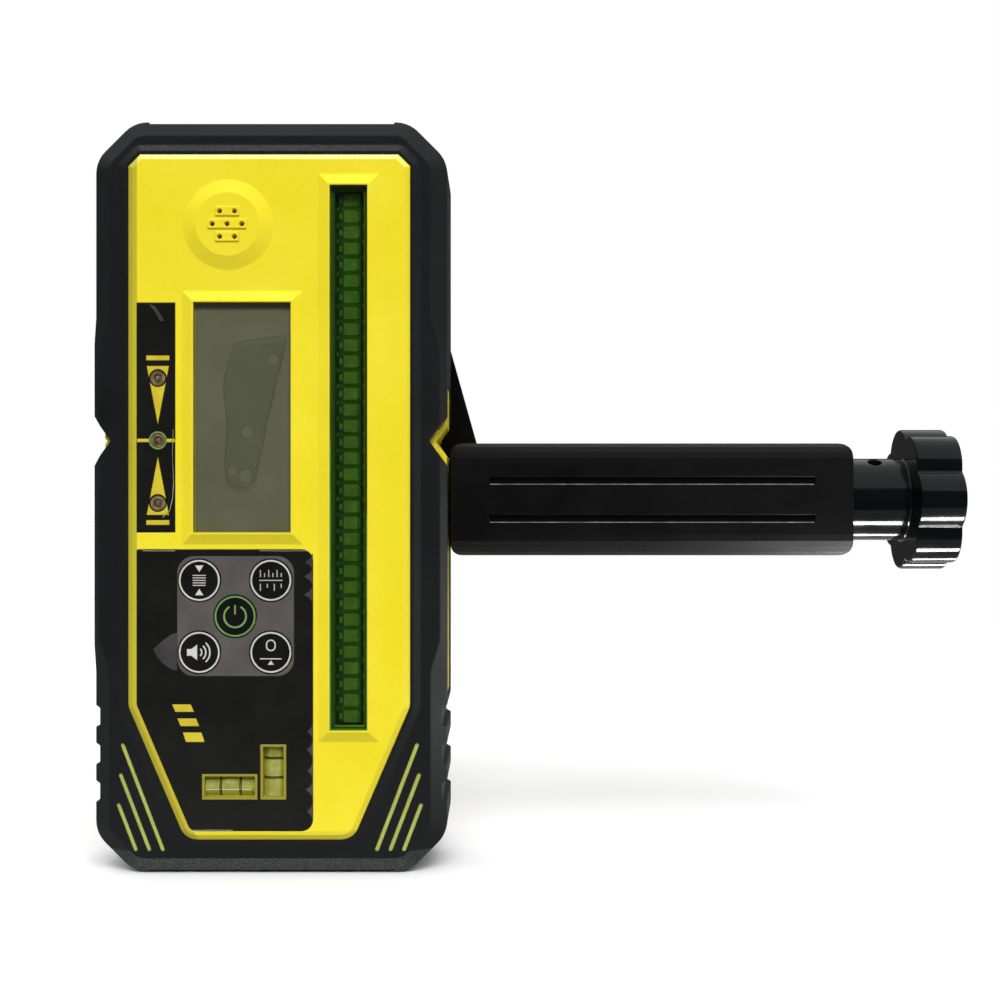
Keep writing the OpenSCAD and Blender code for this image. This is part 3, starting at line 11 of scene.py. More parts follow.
import bpy
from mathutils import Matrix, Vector

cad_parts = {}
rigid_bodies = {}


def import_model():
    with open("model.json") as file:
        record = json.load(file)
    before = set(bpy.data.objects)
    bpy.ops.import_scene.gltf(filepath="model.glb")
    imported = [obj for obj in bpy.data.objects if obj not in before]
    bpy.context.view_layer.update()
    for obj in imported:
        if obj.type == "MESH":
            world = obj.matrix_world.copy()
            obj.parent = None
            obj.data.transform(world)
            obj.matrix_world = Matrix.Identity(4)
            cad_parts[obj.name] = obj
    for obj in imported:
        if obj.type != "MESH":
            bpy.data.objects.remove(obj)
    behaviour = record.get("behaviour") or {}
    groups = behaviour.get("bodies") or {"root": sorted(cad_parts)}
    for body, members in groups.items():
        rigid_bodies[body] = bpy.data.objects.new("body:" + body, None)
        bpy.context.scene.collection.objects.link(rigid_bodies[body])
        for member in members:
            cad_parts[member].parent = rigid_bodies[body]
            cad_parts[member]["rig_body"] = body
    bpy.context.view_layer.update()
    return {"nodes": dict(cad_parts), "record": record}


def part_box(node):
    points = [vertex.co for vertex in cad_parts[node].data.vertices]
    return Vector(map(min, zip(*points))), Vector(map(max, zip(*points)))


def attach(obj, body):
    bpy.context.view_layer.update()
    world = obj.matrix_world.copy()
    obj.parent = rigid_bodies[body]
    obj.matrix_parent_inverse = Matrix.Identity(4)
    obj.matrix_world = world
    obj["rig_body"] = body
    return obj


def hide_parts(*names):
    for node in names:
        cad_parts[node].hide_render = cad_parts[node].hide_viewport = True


MM = 0.001
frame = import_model()

# %% [markdown]
# The camera stands where the photograph was taken: level with the middle of the case, a little to the
# right of it, about 31 cm from the front panel. A lens of 50 mm on a 36 mm sensor gives the same frame.

# %% Camera
CAMERA_PLACE = (51.1, -323, 83.2)
bpy.ops.object.camera_add(location=Vector(CAMERA_PLACE) * MM, rotation=(math.radians(90), 0, 0))
camera = bpy.context.object
camera.name = "camera"
camera.data.lens = 50.2
camera.data.sensor_width = 36
camera.data.clip_start = 10 * MM
bpy.context.scene.camera = camera
print("camera at", CAMERA_PLACE)

# %% [markdown]
# Operators act on whatever is selected, and the CAD nodes are still selected after loading, so each piece
# starts from an empty selection. These small helpers select one piece, choose some of its faces or edges
# by their place, and measure a CAD node's box.

# %% Selecting and measuring
def object_mode():
    if bpy.context.mode != "OBJECT":
        bpy.ops.object.mode_set(mode="OBJECT")


def nothing_selected():
    object_mode()
    bpy.ops.object.select_all(action="DESELECT")


def pick(*pieces):
    nothing_selected()
    for piece in pieces:
        piece.select_set(True)
    bpy.context.view_layer.objects.active = pieces[0]


def edit(piece, action="SELECT", kind=None):
    pick(piece)
    bpy.ops.object.mode_set(mode="EDIT")
    if kind:
        bpy.ops.mesh.select_mode(type=kind)
    bpy.ops.mesh.select_all(action=action)


def choose_faces(piece, test):
    edit(piece, "DESELECT", "FACE")
    object_mode()
    for face in piece.data.polygons:
        face.select = test(face.center / MM, face.normal)
    bpy.ops.object.mode_set(mode="EDIT")


def choose_edges(piece, test):
    edit(piece, "DESELECT", "EDGE")
    object_mode()
    points = [vertex.co / MM for vertex in piece.data.vertices]
    for edge in piece.data.edges:
        edge.select = test(*(points[k] for k in edge.vertices))
    bpy.ops.object.mode_set(mode="EDIT")


def corners(node):
    return [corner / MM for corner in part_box(node)]


def middle(node):
    low, high = corners(node)
    return (low + high) / 2


nothing_selected()
print("selected now:", len(bpy.context.selected_objects))
print("middle of the knob:", [round(v, 2) for v in middle("knob")])

# %% [markdown]
# A modifier is added, given its settings and applied, so that the finished piece is plain mesh. The most
# used one is the Boolean that cuts one shape out of another. Several pieces that share a body and a finish
# are joined into one mesh.

# %% Modifiers, cutting and joining
def finish_with(piece, kind, **settings):
    pick(piece)
    modifier = piece.modifiers.new(kind.lower(), kind)
    for name, value in settings.items():
        setattr(modifier, name, value)
    bpy.ops.object.modifier_apply(modifier=modifier.name)
    return piece


def cut(piece, cutter):
    finish_with(piece, "BOOLEAN", operation="DIFFERENCE", solver="EXACT", object=cutter)
    bpy.data.objects.remove(cutter)
    return piece


def smooth(piece, degrees=35):
    pick(piece)
    bpy.ops.object.shade_smooth_by_angle(angle=math.radians(degrees))
    return piece


def named(name, piece):
    piece.name = name
    return piece


def join(name, pieces):
    pick(*pieces)
    if len(pieces) > 1:
        bpy.ops.object.join()
    return named(name, pieces[0])


# %% [markdown]
# Moulded plastic has no knife edges. A copy of a CAD mesh is loose triangles, so its doubles are merged
# and its flat faces dissolved first. A Bevel modifier then rounds each edge sharper than its limit, and
# Weighted Normal keeps the large faces flat. The bevel stays narrower than the smallest step of its piece,
# because a wider one folds over itself. The copy replaces the CAD node in the picture only.

# %% Rounded copies of the CAD mouldings
def soften(piece, edge, limit=20):
    finish_with(piece, "BEVEL", width=edge * MM, segments=2, limit_method="ANGLE",
                angle_limit=math.radians(limit), use_clamp_overlap=False, loop_slide=False)
    smooth(piece, 40)
    return finish_with(piece, "WEIGHTED_NORMAL", keep_sharp=True)


def merged_copy(node):
    pick(frame["nodes"][node])
    bpy.ops.object.duplicate()
    piece = named(node + "_skin", bpy.context.object)
    bpy.ops.object.parent_clear(type="CLEAR_KEEP_TRANSFORM")
    for key in list(piece.keys()):
        del piece[key]
    edit(piece)
    bpy.ops.mesh.remove_doubles(threshold=0.002 * MM)
    bpy.ops.mesh.dissolve_limited(angle_limit=math.radians(0.8))
    object_mode()
    bpy.ops.mesh.customdata_custom_splitnormals_clear()
    return piece


ROUNDED = {  # width of the bevel in mm, smallest angle of an edge in degrees
    "battery_door": (0.15, 20), "front_bumper": (0.2, 20), "rear_bumper": (0.12, 45),
    "arm_cover": (0.2, 20), "moving_jaw": (0.4, 20), "knob": (0.6, 32),
}
stand_ins = {node: soften(merged_copy(node), *edge) for node, edge in ROUNDED.items()}
for node, piece in stand_ins.items():
    print(node, "rounded:", len(piece.data.polygons), "faces")

# %% [markdown]
# Small fasteners and cutters start from two primitives, a block between two corners and a rod along an
# axis. Each is added at its size and place, and the place is then applied, so its origin stays at zero.

# %% Blocks and rods to start from
TURNS = {"x": (0, math.radians(90), 0), "y": (math.radians(90), 0, 0), "z": (0, 0, 0)}


def settle():
    bpy.ops.object.transform_apply(location=True, rotation=True, scale=True)
    return bpy.context.object


def block(low, high):
    nothing_selected()
    low, high = Vector(low) * MM, Vector(high) * MM
    bpy.ops.mesh.primitive_cube_add(size=1, location=(low + high) / 2)
    bpy.context.object.scale = high - low
    return settle()


def on_axis(axis, along, across):
    place = list(across)
    place.insert("xyz".index(axis), along)
    return Vector(place)


def rod(axis, start, end, centre, radius, sides=48, ends="NGON"):
    nothing_selected()
    bpy.ops.mesh.primitive_cylinder_add(
        vertices=sides, radius=radius * MM, depth=(end - start) * MM, end_fill_type=ends,
        location=on_axis(axis, (start + end) / 2, centre) * MM, rotation=TURNS[axis],
    )
    return settle()


def copy_to(piece, move):
    pick(piece)
    bpy.ops.object.duplicate()
    bpy.context.object.location = Vector(move) * MM
    return settle()


def push(distance):
    bpy.ops.mesh.extrude_region_move(TRANSFORM_OT_translate={"value": (0, distance * MM, 0)})


print("rods run along", ", ".join(TURNS))

# %% [markdown]
# The case and the arm cover are held by small pan-head screws with a cross recess. One screw is a short
# rod: its lower face is inset to the shank and extruded down to a blunt tip, the upper rim is bevelled,
# and two thin blocks cut the cross. The other screws are copies, each with its own mesh.

# %% Screws of the case and the cover
BLUNT = 0.5


def cross_screw(x, z, top, head, rise, shank, tip):
    piece = rod("y", top - rise, top, (x, z), head / 2, 32)
    choose_faces(piece, lambda centre, normal: normal.y < -0.9)
    bpy.ops.mesh.inset(thickness=(head - shank) / 2 * MM)
    push(tip + BLUNT - top + rise)
    bpy.ops.mesh.inset(thickness=shank / 4 * MM, depth=BLUNT * MM)
    choose_edges(piece, lambda a, b: min(a.y, b.y) > top - 0.01)
    bpy.ops.mesh.bevel(offset=0.3 * rise * MM, segments=3)
    long, thin, floor_y = 0.28 * head, 0.06 * head, top - 0.5 * rise
    for half_x, half_z in ((long, thin), (thin, long)):
        cut(piece, block((x - half_x, floor_y, z - half_z), (x + half_x, top + 1, z + half_z)))
    return smooth(piece)


def with_copies(name, first, moves):
    return join(name, [first] + [copy_to(first, move) for move in moves])


case_moves = [(dx, 0, dz) for dz in (0, 56.63, 136.75) for dx in (0, 67.3)][1:]
case_screw = cross_screw(x=-33.65, z=15.5, top=12.6, head=4.4, rise=2, shank=2.6, tip=-7)
stand_ins["case_screws"] = with_copies("case_screw_set", case_screw, case_moves)
cover_screw = cross_screw(x=122.2, z=74.75, top=20, head=4, rise=1.4, shank=2.2, tip=14.8)
stand_ins["cover_screws"] = with_copies("cover_screw_pair", cover_screw, [(0, 0, 17.2)])
for node in ("case_screws", "cover_screws"):
    print(node, "made:", len(stand_ins[node].data.polygons), "faces")

# %% [markdown]
# A screw thread is one ridge wound round a core. Its profile over one pitch is an open line of five points,
# made from a circle with one edge deleted. The Screw modifier turns and lifts that line round the axis. The
# turns are merged where they meet, and each end is extruded and collapsed to one point, which closes it.
# The spindle that moves the jaw is left handed, so that turning its knob clockwise closes the clamp; the
# mounting screw is right handed.

# %% Threads
def thread(axis, start, turns, pitch, centre, crest, root, hand):
    nothing_selected()
    bpy.ops.mesh.primitive_circle_add(vertices=5, radius=MM, fill_type="NOTHING")
    piece = bpy.context.object
    profile = ((0, root), (0.3, root), (0.45, crest), (0.85, crest), (1, root))
    for vertex, (share, reach) in zip(piece.data.vertices, profile):
        vertex.co = on_axis(axis, share * pitch, (0, reach)) * MM
    choose_edges(piece, lambda a, b: (a - b).length > 0.9 * pitch)
    bpy.ops.mesh.delete(type="EDGE")
    finish_with(piece, "SCREW", axis=axis.upper(), angle=math.radians(hand * 360), screw_offset=pitch * MM,
                iterations=turns, steps=32, render_steps=32)
    piece.location = on_axis(axis, start, centre) * MM
    edit(settle())
    bpy.ops.mesh.remove_doubles(threshold=0.01 * MM)
    bpy.ops.mesh.select_mode(type="EDGE")
    bpy.ops.mesh.select_all(action="DESELECT")
    bpy.ops.mesh.select_non_manifold()
    bpy.ops.mesh.extrude_region_move()
    bpy.ops.mesh.merge(type="COLLAPSE")
    bpy.ops.mesh.select_all(action="SELECT")
    bpy.ops.mesh.normals_make_consistent(inside=False)
    return smooth(piece)


# %% [markdown]
# The spindle is the wound thread between two plain journals that run in the bushes. A journal is a rod
# with a bevelled rim at each end.

# %% Spindle of the clamp
SPINDLE = (8, 83.35)
SPINDLE_RADIUS = 4
THREAD_START, THREAD_TURNS, THREAD_PITCH = 48, 15, 4
spindle_low, spindle_high = corners("lead_screw")


def journal(start, end):
    piece = rod("x", start, end, SPINDLE, SPINDLE_RADIUS)
    choose_edges(piece, lambda a, b: abs(a.x - b.x) < 0.01)
    bpy.ops.mesh.bevel(offset=0.6 * MM, segments=2)
    return smooth(piece)


stand_ins["lead_screw"] = join("threaded_spindle", [
    thread("x", THREAD_START, THREAD_TURNS, THREAD_PITCH, SPINDLE, crest=3.99, root=3.2, hand=-1),
    journal(spindle_low.x, THREAD_START + 1),
    journal(THREAD_START + THREAD_TURNS * THREAD_PITCH + 3, spindle_high.x),
])
print("spindle:", len(stand_ins["lead_screw"].data.polygons), "faces")

# %% [markdown]
# The mounting screw is turned by hand or with a coin. Its head is a bevelled rod. Every other side face is
# inset and pushed in, which leaves the ridges of a straight knurl. The shank is extruded from the head's
# lower face, and a block cuts the slot for the coin.

# %% Mounting screw
HEAD_AXIS = (0, 96.35)
HEAD_BASE, HEAD_TOP, HEAD_RADIUS, HEAD_SIDES = 23.1, 32.1, 9.5, 96
head = rod("y", HEAD_BASE, HEAD_TOP, HEAD_AXIS, HEAD_RADIUS, HEAD_SIDES)
choose_edges(head, lambda a, b: abs(a.y - b.y) < 0.01)
bpy.ops.mesh.bevel(offset=0.9 * MM, segments=2)


def every_other_side(centre, normal):
    step = round(math.degrees(math.atan2(normal.z, normal.x)) / (360 / HEAD_SIDES) + 0.5)
    return abs(normal.y) < 0.1 and step % 2 == 0


choose_faces(head, every_other_side)
bpy.ops.mesh.inset(thickness=0.08 * MM, depth=-0.4 * MM, use_individual=True)
choose_faces(head, lambda centre, normal: centre.y < HEAD_BASE + 0.01 and normal.y < -0.95)
bpy.ops.mesh.inset(thickness=5.4 * MM)
push(-8)
cut(head, block((-10, HEAD_TOP - 2, HEAD_AXIS[1] - 0.8), (10, HEAD_TOP + 0.9, HEAD_AXIS[1] + 0.8)))
smooth(head, 25)
stand_ins["mount_screw"] = join("thumb_screw", [
    head,
    thread("y", 8.5, 5, 1.27, HEAD_AXIS, crest=3.17, root=2.5, hand=1),
])
print("thumb screw:", len(stand_ins["mount_screw"].data.polygons), "faces")

# %% [markdown]
# The two jaws grip the staff with rubber pads. A pad is a block with upright grooves, so that it bites on a
# wet staff. The grooves are one thin block repeated by an Array modifier and cut out in one Boolean.

# %% Grooved jaw pads
GROOVES, GROOVE_STEP, GROOVE_DEPTH = 8, 2.6, 0.55


def repeat(piece, count, step):
    return finish_with(piece, "ARRAY", count=count, use_relative_offset=False, use_constant_offset=True,
                       constant_offset_displace=Vector(step) * MM)


def grooved_pad(node, grip_side):
    low, high = corners(node)
    piece = block(low, high)
    face = high.x if grip_side > 0 else low.x
    x0, x1 = sorted((face - grip_side * GROOVE_DEPTH, face + grip_side))
    first = block((x0, low.y + 2.3, low.z - 1), (x1, low.y + 3.1, high.z + 1))
    cut(piece, repeat(first, GROOVES, (0, GROOVE_STEP, 0)))
    return soften(named(node + "_grooved", piece), 0.12)


for node, grip_side in (("fixed_jaw_pad", 1), ("moving_jaw_pad", -1)):
    stand_ins[node] = grooved_pad(node, grip_side)
    print(node, "grooved:", len(stand_ins[node].data.polygons), "faces")

# %% [markdown]
# Printed marks are ink a few hundredths of a millimetre thick. Each starts as a filled circle whose
# corners are moved to the outline of the mark, and is then extruded to its thickness, so it is a real
# closed plate that lies on the label under it. A ring is a filled circle, inset, with its middle removed.

# %% Plates and rings of print
INK = 0.03


def thicken(piece, depth):
    edit(piece)
    push(-depth)
    bpy.ops.mesh.select_all(action="SELECT")
    bpy.ops.mesh.normals_make_consistent(inside=False)
    object_mode()
    return piece


def plate(outline, back, depth=INK):
    nothing_selected()
    bpy.ops.mesh.primitive_circle_add(vertices=len(outline), radius=MM, fill_type="NGON")
    piece = bpy.context.object
    for vertex, (x, z) in zip(piece.data.vertices, outline):
        vertex.co = Vector((x, back, z)) * MM
    return thicken(piece, depth)


def ring(x, z, outer, inner, back, depth=INK):
    nothing_selected()
    bpy.ops.mesh.primitive_circle_add(
        vertices=48, radius=outer * MM, fill_type="NGON",
        location=Vector((x, back, z)) * MM, rotation=TURNS["y"],
    )
    edit(settle())
    bpy.ops.mesh.inset(thickness=(outer - inner) * MM)
    bpy.ops.mesh.delete(type="FACE")
    return thicken(bpy.context.object, depth)


print("ink:", INK, "mm thick")

# %% [markdown]
# The outlines of the marks come from a few rules: points on a circle, a square, a square with round
# corners, and a line of some width through given points.

# %% Outlines of marks
def circle_points(x, z, radius, start=0, end=360, sides=48):
    angles = [math.radians(start + (end - start) * k / sides) for k in range(sides + (end - start < 360))]
    return [(x + radius * math.cos(a), z + radius * math.sin(a)) for a in angles]


def square(x0, x1, z0, z1):
    return [(x0, z0), (x1, z0), (x1, z1), (x0, z1)]


def rounded(x0, x1, z0, z1, r):
    turns = ((x1 - r, z1 - r, 0), (x0 + r, z1 - r, 90), (x0 + r, z0 + r, 180), (x1 - r, z0 + r, 270))
    return [point for x, z, turn in turns for point in circle_points(x, z, r, turn, turn + 90, 8)]


def bar(x0, x1, z0, z1, back):
    return plate(square(x0, x1, z0, z1), back)


def drill(x, z, radius, front):
    return plate(circle_points(x, z, radius), front + 1, 2)


def arc(x, z, radius, width, start, end, back):
    outer = circle_points(x, z, radius + width / 2, start, end, 16)
    inner = circle_points(x, z, radius - width / 2, start, end, 16)
    return plate(outer + inner[::-1], back)


def stroke(points, width, back):
    points = [Vector(point) for point in points]
    ahead = points[1:] + points[-1:]
    behind = points[:1] + points[:-1]
    sides = [(a - b).orthogonal().normalized() * width / 2 for a, b in zip(ahead, behind)]
    left = [point + side for point, side in zip(points, sides)]
    right = [point - side for point, side in zip(points, sides)]
    return plate(left + right[::-1], back)


print("points on a full circle:", len(circle_points(0, 0, 1)))

# %% [markdown]
# The narrow label left of the display tells which way to move the staff: two long triangles with a bar
# behind each, and a line across at the height that the receiver reads. The lamps stand in the marks, each
# in a hole with a rim, behind a small lens.

# %% Marks of the indicator label
label_low, label_high = corners("indicator_label")
LABEL_FRONT = label_low.y
LAMP_X, GRADE_Z = middle("grade_lamp").x, middle("grade_lamp").z
LAMP_DZ, LAMP_HOLE = 13.8, 1.7
ARROW_HALF, BAR_HALF, LINE_HALF = 2.45, 2.55, 0.38


def arrow(base, tip):
    outline = [(LAMP_X - ARROW_HALF, base), (LAMP_X + ARROW_HALF, base), (LAMP_X, tip)]
    lamp_z = GRADE_Z + math.copysign(LAMP_DZ, base - tip)
    return cut(plate(outline, LABEL_FRONT), drill(LAMP_X, lamp_z, LAMP_HOLE, LABEL_FRONT))


grade_line = bar(label_low.x, label_high.x, GRADE_Z - LINE_HALF, GRADE_Z + LINE_HALF, LABEL_FRONT)
indicator_marks = join("indicator_marks", [
    arrow(112.8, 100.0),
    arrow(79.9, 92.7),
    bar(LAMP_X - BAR_HALF, LAMP_X + BAR_HALF, 114.05, 115.1, LABEL_FRONT),
    bar(LAMP_X - BAR_HALF, LAMP_X + BAR_HALF, 77.7, 78.75, LABEL_FRONT),
    cut(grade_line, drill(LAMP_X, GRADE_Z, LAMP_HOLE, LABEL_FRONT)),
])


def lamp_rim(z, width):
    return ring(LAMP_X, z, LAMP_HOLE + width, LAMP_HOLE - 0.02, LABEL_FRONT, 2 * INK)


lamp_rims = join("lamp_rims", [lamp_rim(GRADE_Z + k * LAMP_DZ, 0.28) for k in (-1, 1)])
grade_rim = named("grade_rim", lamp_rim(GRADE_Z, 0.3))
lamp_lenses = join("lamp_lenses", [
    ring(LAMP_X, GRADE_Z + k * LAMP_DZ, LAMP_HOLE, 0.9, LABEL_FRONT + 0.12, 0.04) for k in (-1, 0, 1)
])
print("indicator marks:", len(indicator_marks.data.polygons), "faces")

# %% [markdown]
# The keypad is a printed film. A grey field with round corners lies behind the five keys, and each key
# shows through its own hole in it. The field is one plate with five holes cut by a joined set of discs.

# %% Grey field and stripes of the keypad
KEYS = ("sensitivity", "units", "power", "sound", "zero")
KEY_HOLE = 4.85
film_low, film_high = corners("keypad_overlay")
FILM_FRONT = film_low.y


def key_place(name):
    centre = middle("key_" + name)
    return centre.x, corners("key_" + name)[0].y, centre.z


holes = [drill(x, z, KEY_HOLE, FILM_FRONT) for x, y, z in map(key_place, KEYS)]
field = plate(rounded(-20.2, 5.6, 44.3, 70.8, 3.7), FILM_FRONT)
key_field = named("key_field", cut(field, join("key_holes", holes)))
stripes = join("film_stripes", [
    plate([(x, top), (x + 4.1, top), (x + 4.8, low), (x + 0.7, low)], FILM_FRONT)
    for x, top, low in ((-21.3, 38.05, 36.4), (-20.15, 34.95, 33.25), (-18.95, 31.85, 29.75))
])
print("key field:", len(key_field.data.polygons), "faces")

# %% [markdown]
# A clear film still covers the new receiver, and it shows where it has lifted: a pale leaf beside the keys,
# small dents along the right edge, and bright lines where it folds, which are painted highlights. These
# marks are thin plates too.

# %% Marks of the loose film
LEAF = [(-25.5, 50.2), (-23.6, 52.0), (-21.5, 53.5), (-20.25, 53.9),
        (-20.25, 45.5), (-21.5, 45.8), (-23.4, 47.1), (-24.7, 48.6)]
STREAK = [(-26.4, 126.5), (-25.1, 126.0), (-23.8, 124.1), (-23.0, 122.7), (-24.0, 122.7), (-24.9, 124.4)]
DENTS = ((69.5, 1.7), (66.3, 1.9), (62.3, 2.0), (32.1, 1.2), (28.0, 1.4), (23.4, 1.2), (19.2, 1.6), (14.4, 1.3))
FOLDS = (  # width, front of what carries it, points
    (0.12, FILM_FRONT, [(-27.9, 72.0), (-24.2, 71.95), (-20.7, 72.0)]),
    (0.1, FILM_FRONT, [(-2.0, 72.0), (4.0, 71.95), (8.6, 72.0)]),
    (0.12, FILM_FRONT, [(-16.8, 10.25), (-12.4, 10.3), (-7.9, 10.25)]),
    (0.13, LABEL_FRONT, [(-21.0, 87.1), (-21.2, 83.7), (-21.9, 80.7), (-23.4, 79.4)]),
    (0.08, LABEL_FRONT, [(-21.1, 98.8), (-21.25, 93.0), (-21.0, 87.1)]),
)


def dent(z, reach):
    edge, shoulder, tip = film_high.x, film_high.x - 0.35 * reach, film_high.x - reach
    outline = [(edge, z + 2), (shoulder, z + 0.8), (tip, z), (shoulder, z - 0.8), (edge, z - 1.9)]
    return plate(outline, FILM_FRONT)


loose_film = join("loose_film", [plate(LEAF, FILM_FRONT)] + [dent(z, reach) for z, reach in DENTS])
# painted highlights: thin bright strokes along the folds
film_glints = join("film_glints", [stroke(points, width, front) for width, front, points in FOLDS])
label_streak = named("label_streak", plate(STREAK, LABEL_FRONT))
print("film marks:", len(loose_film.data.polygons), len(film_glints.data.polygons), "faces")

# %% [markdown]
# The grey of the display is its polariser, a sheet that lies against the back of the window. The window has
# a loose film as well. Where it clings it looks darker, and round air bubbles stay pale. The film is one
# thin clear plate with the outline of that patch, and the bubbles are round holes cut through it. A fine
# darker rim follows each edge of the film.

# %% Film on the display
PATCH = [
    (-7.5, 117.4), (-5.4, 118.2), (-1.8, 118.8), (3.4, 119.5), (3.9, 119.0), (3.1, 114.5), (1.8, 109.3),
    (0.8, 104.7), (-0.3, 101.0), (-1.0, 96.3), (-2.1, 91.1), (-2.8, 87.6), (-4.6, 85.9), (-7.0, 85.8),
    (-9.0, 86.6), (-9.6, 91.1), (-9.3, 95.3), (-9.1, 98.9), (-9.3, 103.1), (-9.9, 107.3), (-9.6, 110.4),
    (-8.6, 114.0),
]
AIR_HOLES = ((1.0, 114.3, 1.3), (-4.6, 98.2, 1.4), (-8.0, 89.6, 1.15), (-5.0, 88.4, 1.6), (-2.9, 91.0, 0.6))
RIM_HALF = 0.06
window_low, window_high = corners("display_window")
WINDOW_FRONT = window_low.y
sheet = rounded(window_low.x + 0.1, window_high.x - 0.1, window_low.z + 0.1, window_high.z - 0.1, 0.3)
polariser = named("display_polariser", plate(sheet, window_high.y))
air_holes = join("air_holes", [drill(x, z, r, WINDOW_FRONT) for x, z, r in AIR_HOLES])
display_film = named("display_film", cut(plate(PATCH, WINDOW_FRONT), air_holes))
film_rims = join("film_rims", [stroke(PATCH + PATCH[:1], 0.13, WINDOW_FRONT - INK)] + [
    ring(x, z, r + RIM_HALF, r - RIM_HALF, WINDOW_FRONT - INK) for x, z, r in AIR_HOLES
])
print("display film:", len(display_film.data.polygons), "faces")

# %% [markdown]
# Each key is a dark cap with a pale ring at its edge and a plain sign: sensitivity, units, power, sound
# and zero. A sign is a list of small shapes given from the middle of its key. The signs ride on the key
# bodies, so they go in when the key is pressed.

# %% Shapes of the signs
KEY_RING = (4.52, 4.14)


def flat_bar(dx0, dx1, dz0, dz1):
    return lambda x, y, z: bar(x + dx0, x + dx1, z + dz0, z + dz1, y)


def flat_arc(dx, dz, radius, width, start, end):
    return lambda x, y, z: arc(x + dx, z + dz, radius, width, start, end, y)


def flat_plate(points):
    return lambda x, y, z: plate([(x + dx, z + dz) for dx, dz in points], y)


def zero(x, y, z):
    outer, inner = (
        circle_points(x, z + 1.75, radius, 0, 180, 16) + circle_points(x, z + 1.35, radius, 180, 360, 16)
        for radius in (1.1, 0.8)
    )
    return cut(plate(outer, y), plate(inner, y + 1, 2))


def sign(name, shapes):
    x, y, z = key_place(name)
    return join("key_" + name + "_sign", [ring(x, z, *KEY_RING, y)] + [make(x, y, z) for make in shapes])


# %% Signs on the keys
TICK_HALF = 0.11


def ticks(count, step, low, high):
    return [flat_bar(step * k - 2.3 - TICK_HALF, step * k - 2.3 + TICK_HALF, low(k % 2), high(k % 2))
            for k in range(count)]


SIGNS = {
    "sensitivity": [
        flat_plate([(-0.95, 3.3), (0, 1.85), (0.95, 3.3)]),
        flat_plate([(-0.95, -3.3), (0.95, -3.3), (0, -1.85)]),
    ] + [flat_bar(-1.45, 1.45, dz - 0.1, dz + 0.1) for dz in (-1.1, -0.55, 0, 0.55, 1.1)],
    "units": [flat_bar(-2.6, 2.6, -0.1, 0.1)]
    + ticks(6, 0.92, lambda odd: 0.75, lambda odd: 2.3 - 0.7 * odd)
    + ticks(4, 1.53, lambda odd: 0.7 * odd - 2.3, lambda odd: -0.75),
    "power": [flat_arc(0, 0, 2.45, 0.42, -240, 60), flat_bar(-0.2, 0.2, 0.4, 2.55)],
    "sound": [
        flat_plate([(-2.75, -0.75), (-1.75, -0.75), (-0.45, -1.75),
                    (-0.45, 1.75), (-1.75, 0.75), (-2.75, 0.75)]),
    ] + [flat_arc(-0.5, 0, radius, 0.34, -48, 48) for radius in (1.05, 1.95, 2.85)],
    "zero": [zero, flat_bar(-2.4, 2.4, -1.55, -1.3), flat_plate([(-0.7, -2.75), (0.7, -2.75), (0, -1.75)])],
}
key_signs = {name: sign(name, SIGNS[name]) for name in KEYS}
print("key signs:", [len(piece.data.polygons) for piece in key_signs.values()])

# %% [markdown]
# Three bars lean in each lower corner. They are part of the yellow case and show through slots in the
# rubber, where they look paler and greener than the panel. Each face is a thin plate with round ends.

# %% Faces of the corner bars
BAR_LEAN, BAR_END, BAR_FRONT = 21, 0.42, -13.2


def bar_face(side, k):
    x, z, length = 23.8 + 3 * k, 5.65, 24.8 - 7.15 * k
    lean = math.radians(BAR_LEAN)
    top = (x + length * math.sin(lean), z + length * math.cos(lean))
    outline = circle_points(*top, BAR_END, -BAR_LEAN, 180 - BAR_LEAN, 10)
    outline += circle_points(x, z, BAR_END, 180 - BAR_LEAN, 360 - BAR_LEAN, 10)
    return plate([(side * px, pz) for px, pz in outline], BAR_FRONT)


bar_faces = join("corner_bar_faces", [bar_face(side, k) for side in (-1, 1) for k in range(3)])
print("corner bars:", len(bar_faces.data.polygons), "faces")

# %% [markdown]
# Two long grooves run along the arm. Their lower edges catch the light as a thin bright line, which is a
# painted highlight: each groove gets a narrow pale plate on the arm's front, just under it.

# %% Painted highlights under the arm's grooves
ARM_FRONT = corners("clamp_frame")[0].y
GROOVE_FEET = (86.9, 78.2)
# narrow pale plates that paint the highlight on each groove's lower edge
groove_highlights = join("groove_highlights", [bar(48.8, 123, z - 0.2, z, ARM_FRONT) for z in GROOVE_FEET])
print("groove edges:", len(groove_highlights.data.polygons), "faces")

# %% [markdown]
# Behind the green filter stands a column of light sensors on a darker strip. Each has a pale sensitive
# square, and solder lands to its left and right. One of each is modelled and repeated at the pitch.

# %% Sensor squares and solder lands
DIODES, DIODE_PITCH = 33, 3.6
diode_low = corners("photodiodes")[0]
BOARD_FRONT = corners("sensor_board")[0].y
FIRST_Z = diode_low.z + 1.4


def column(name, outlines):
    pieces = [
        plate([(x, FIRST_Z + z) for x, z in points], back, depth) for points, back, depth in outlines
    ]
    return repeat(join(name, pieces), DIODES, (0, 0, DIODE_PITCH))


sensor_squares = column("sensor_squares", [(square(16.2, 19.45, -1.35, 1.35), diode_low.y, INK)])
sensor_strip = named("sensor_strip", plate(square(15.2, 20.2, 33.6, 151.4), diode_low.y + 0.12, 0.06))
solder_lands = column("solder_lands", [
    (square(15.25, 15.95, -0.65, 0.65), diode_low.y, INK),
    (square(19.65, 19.85, -1.1, 1.1), diode_low.y, INK),
    (square(20.35, 20.85, 1.2, 2.2), BOARD_FRONT, 0.1),
    (square(14.55, 15.0, 1.2, 2.2), BOARD_FRONT, 0.1),
])
print("sensor column:", len(sensor_squares.data.polygons), len(solder_lands.data.polygons), "faces")
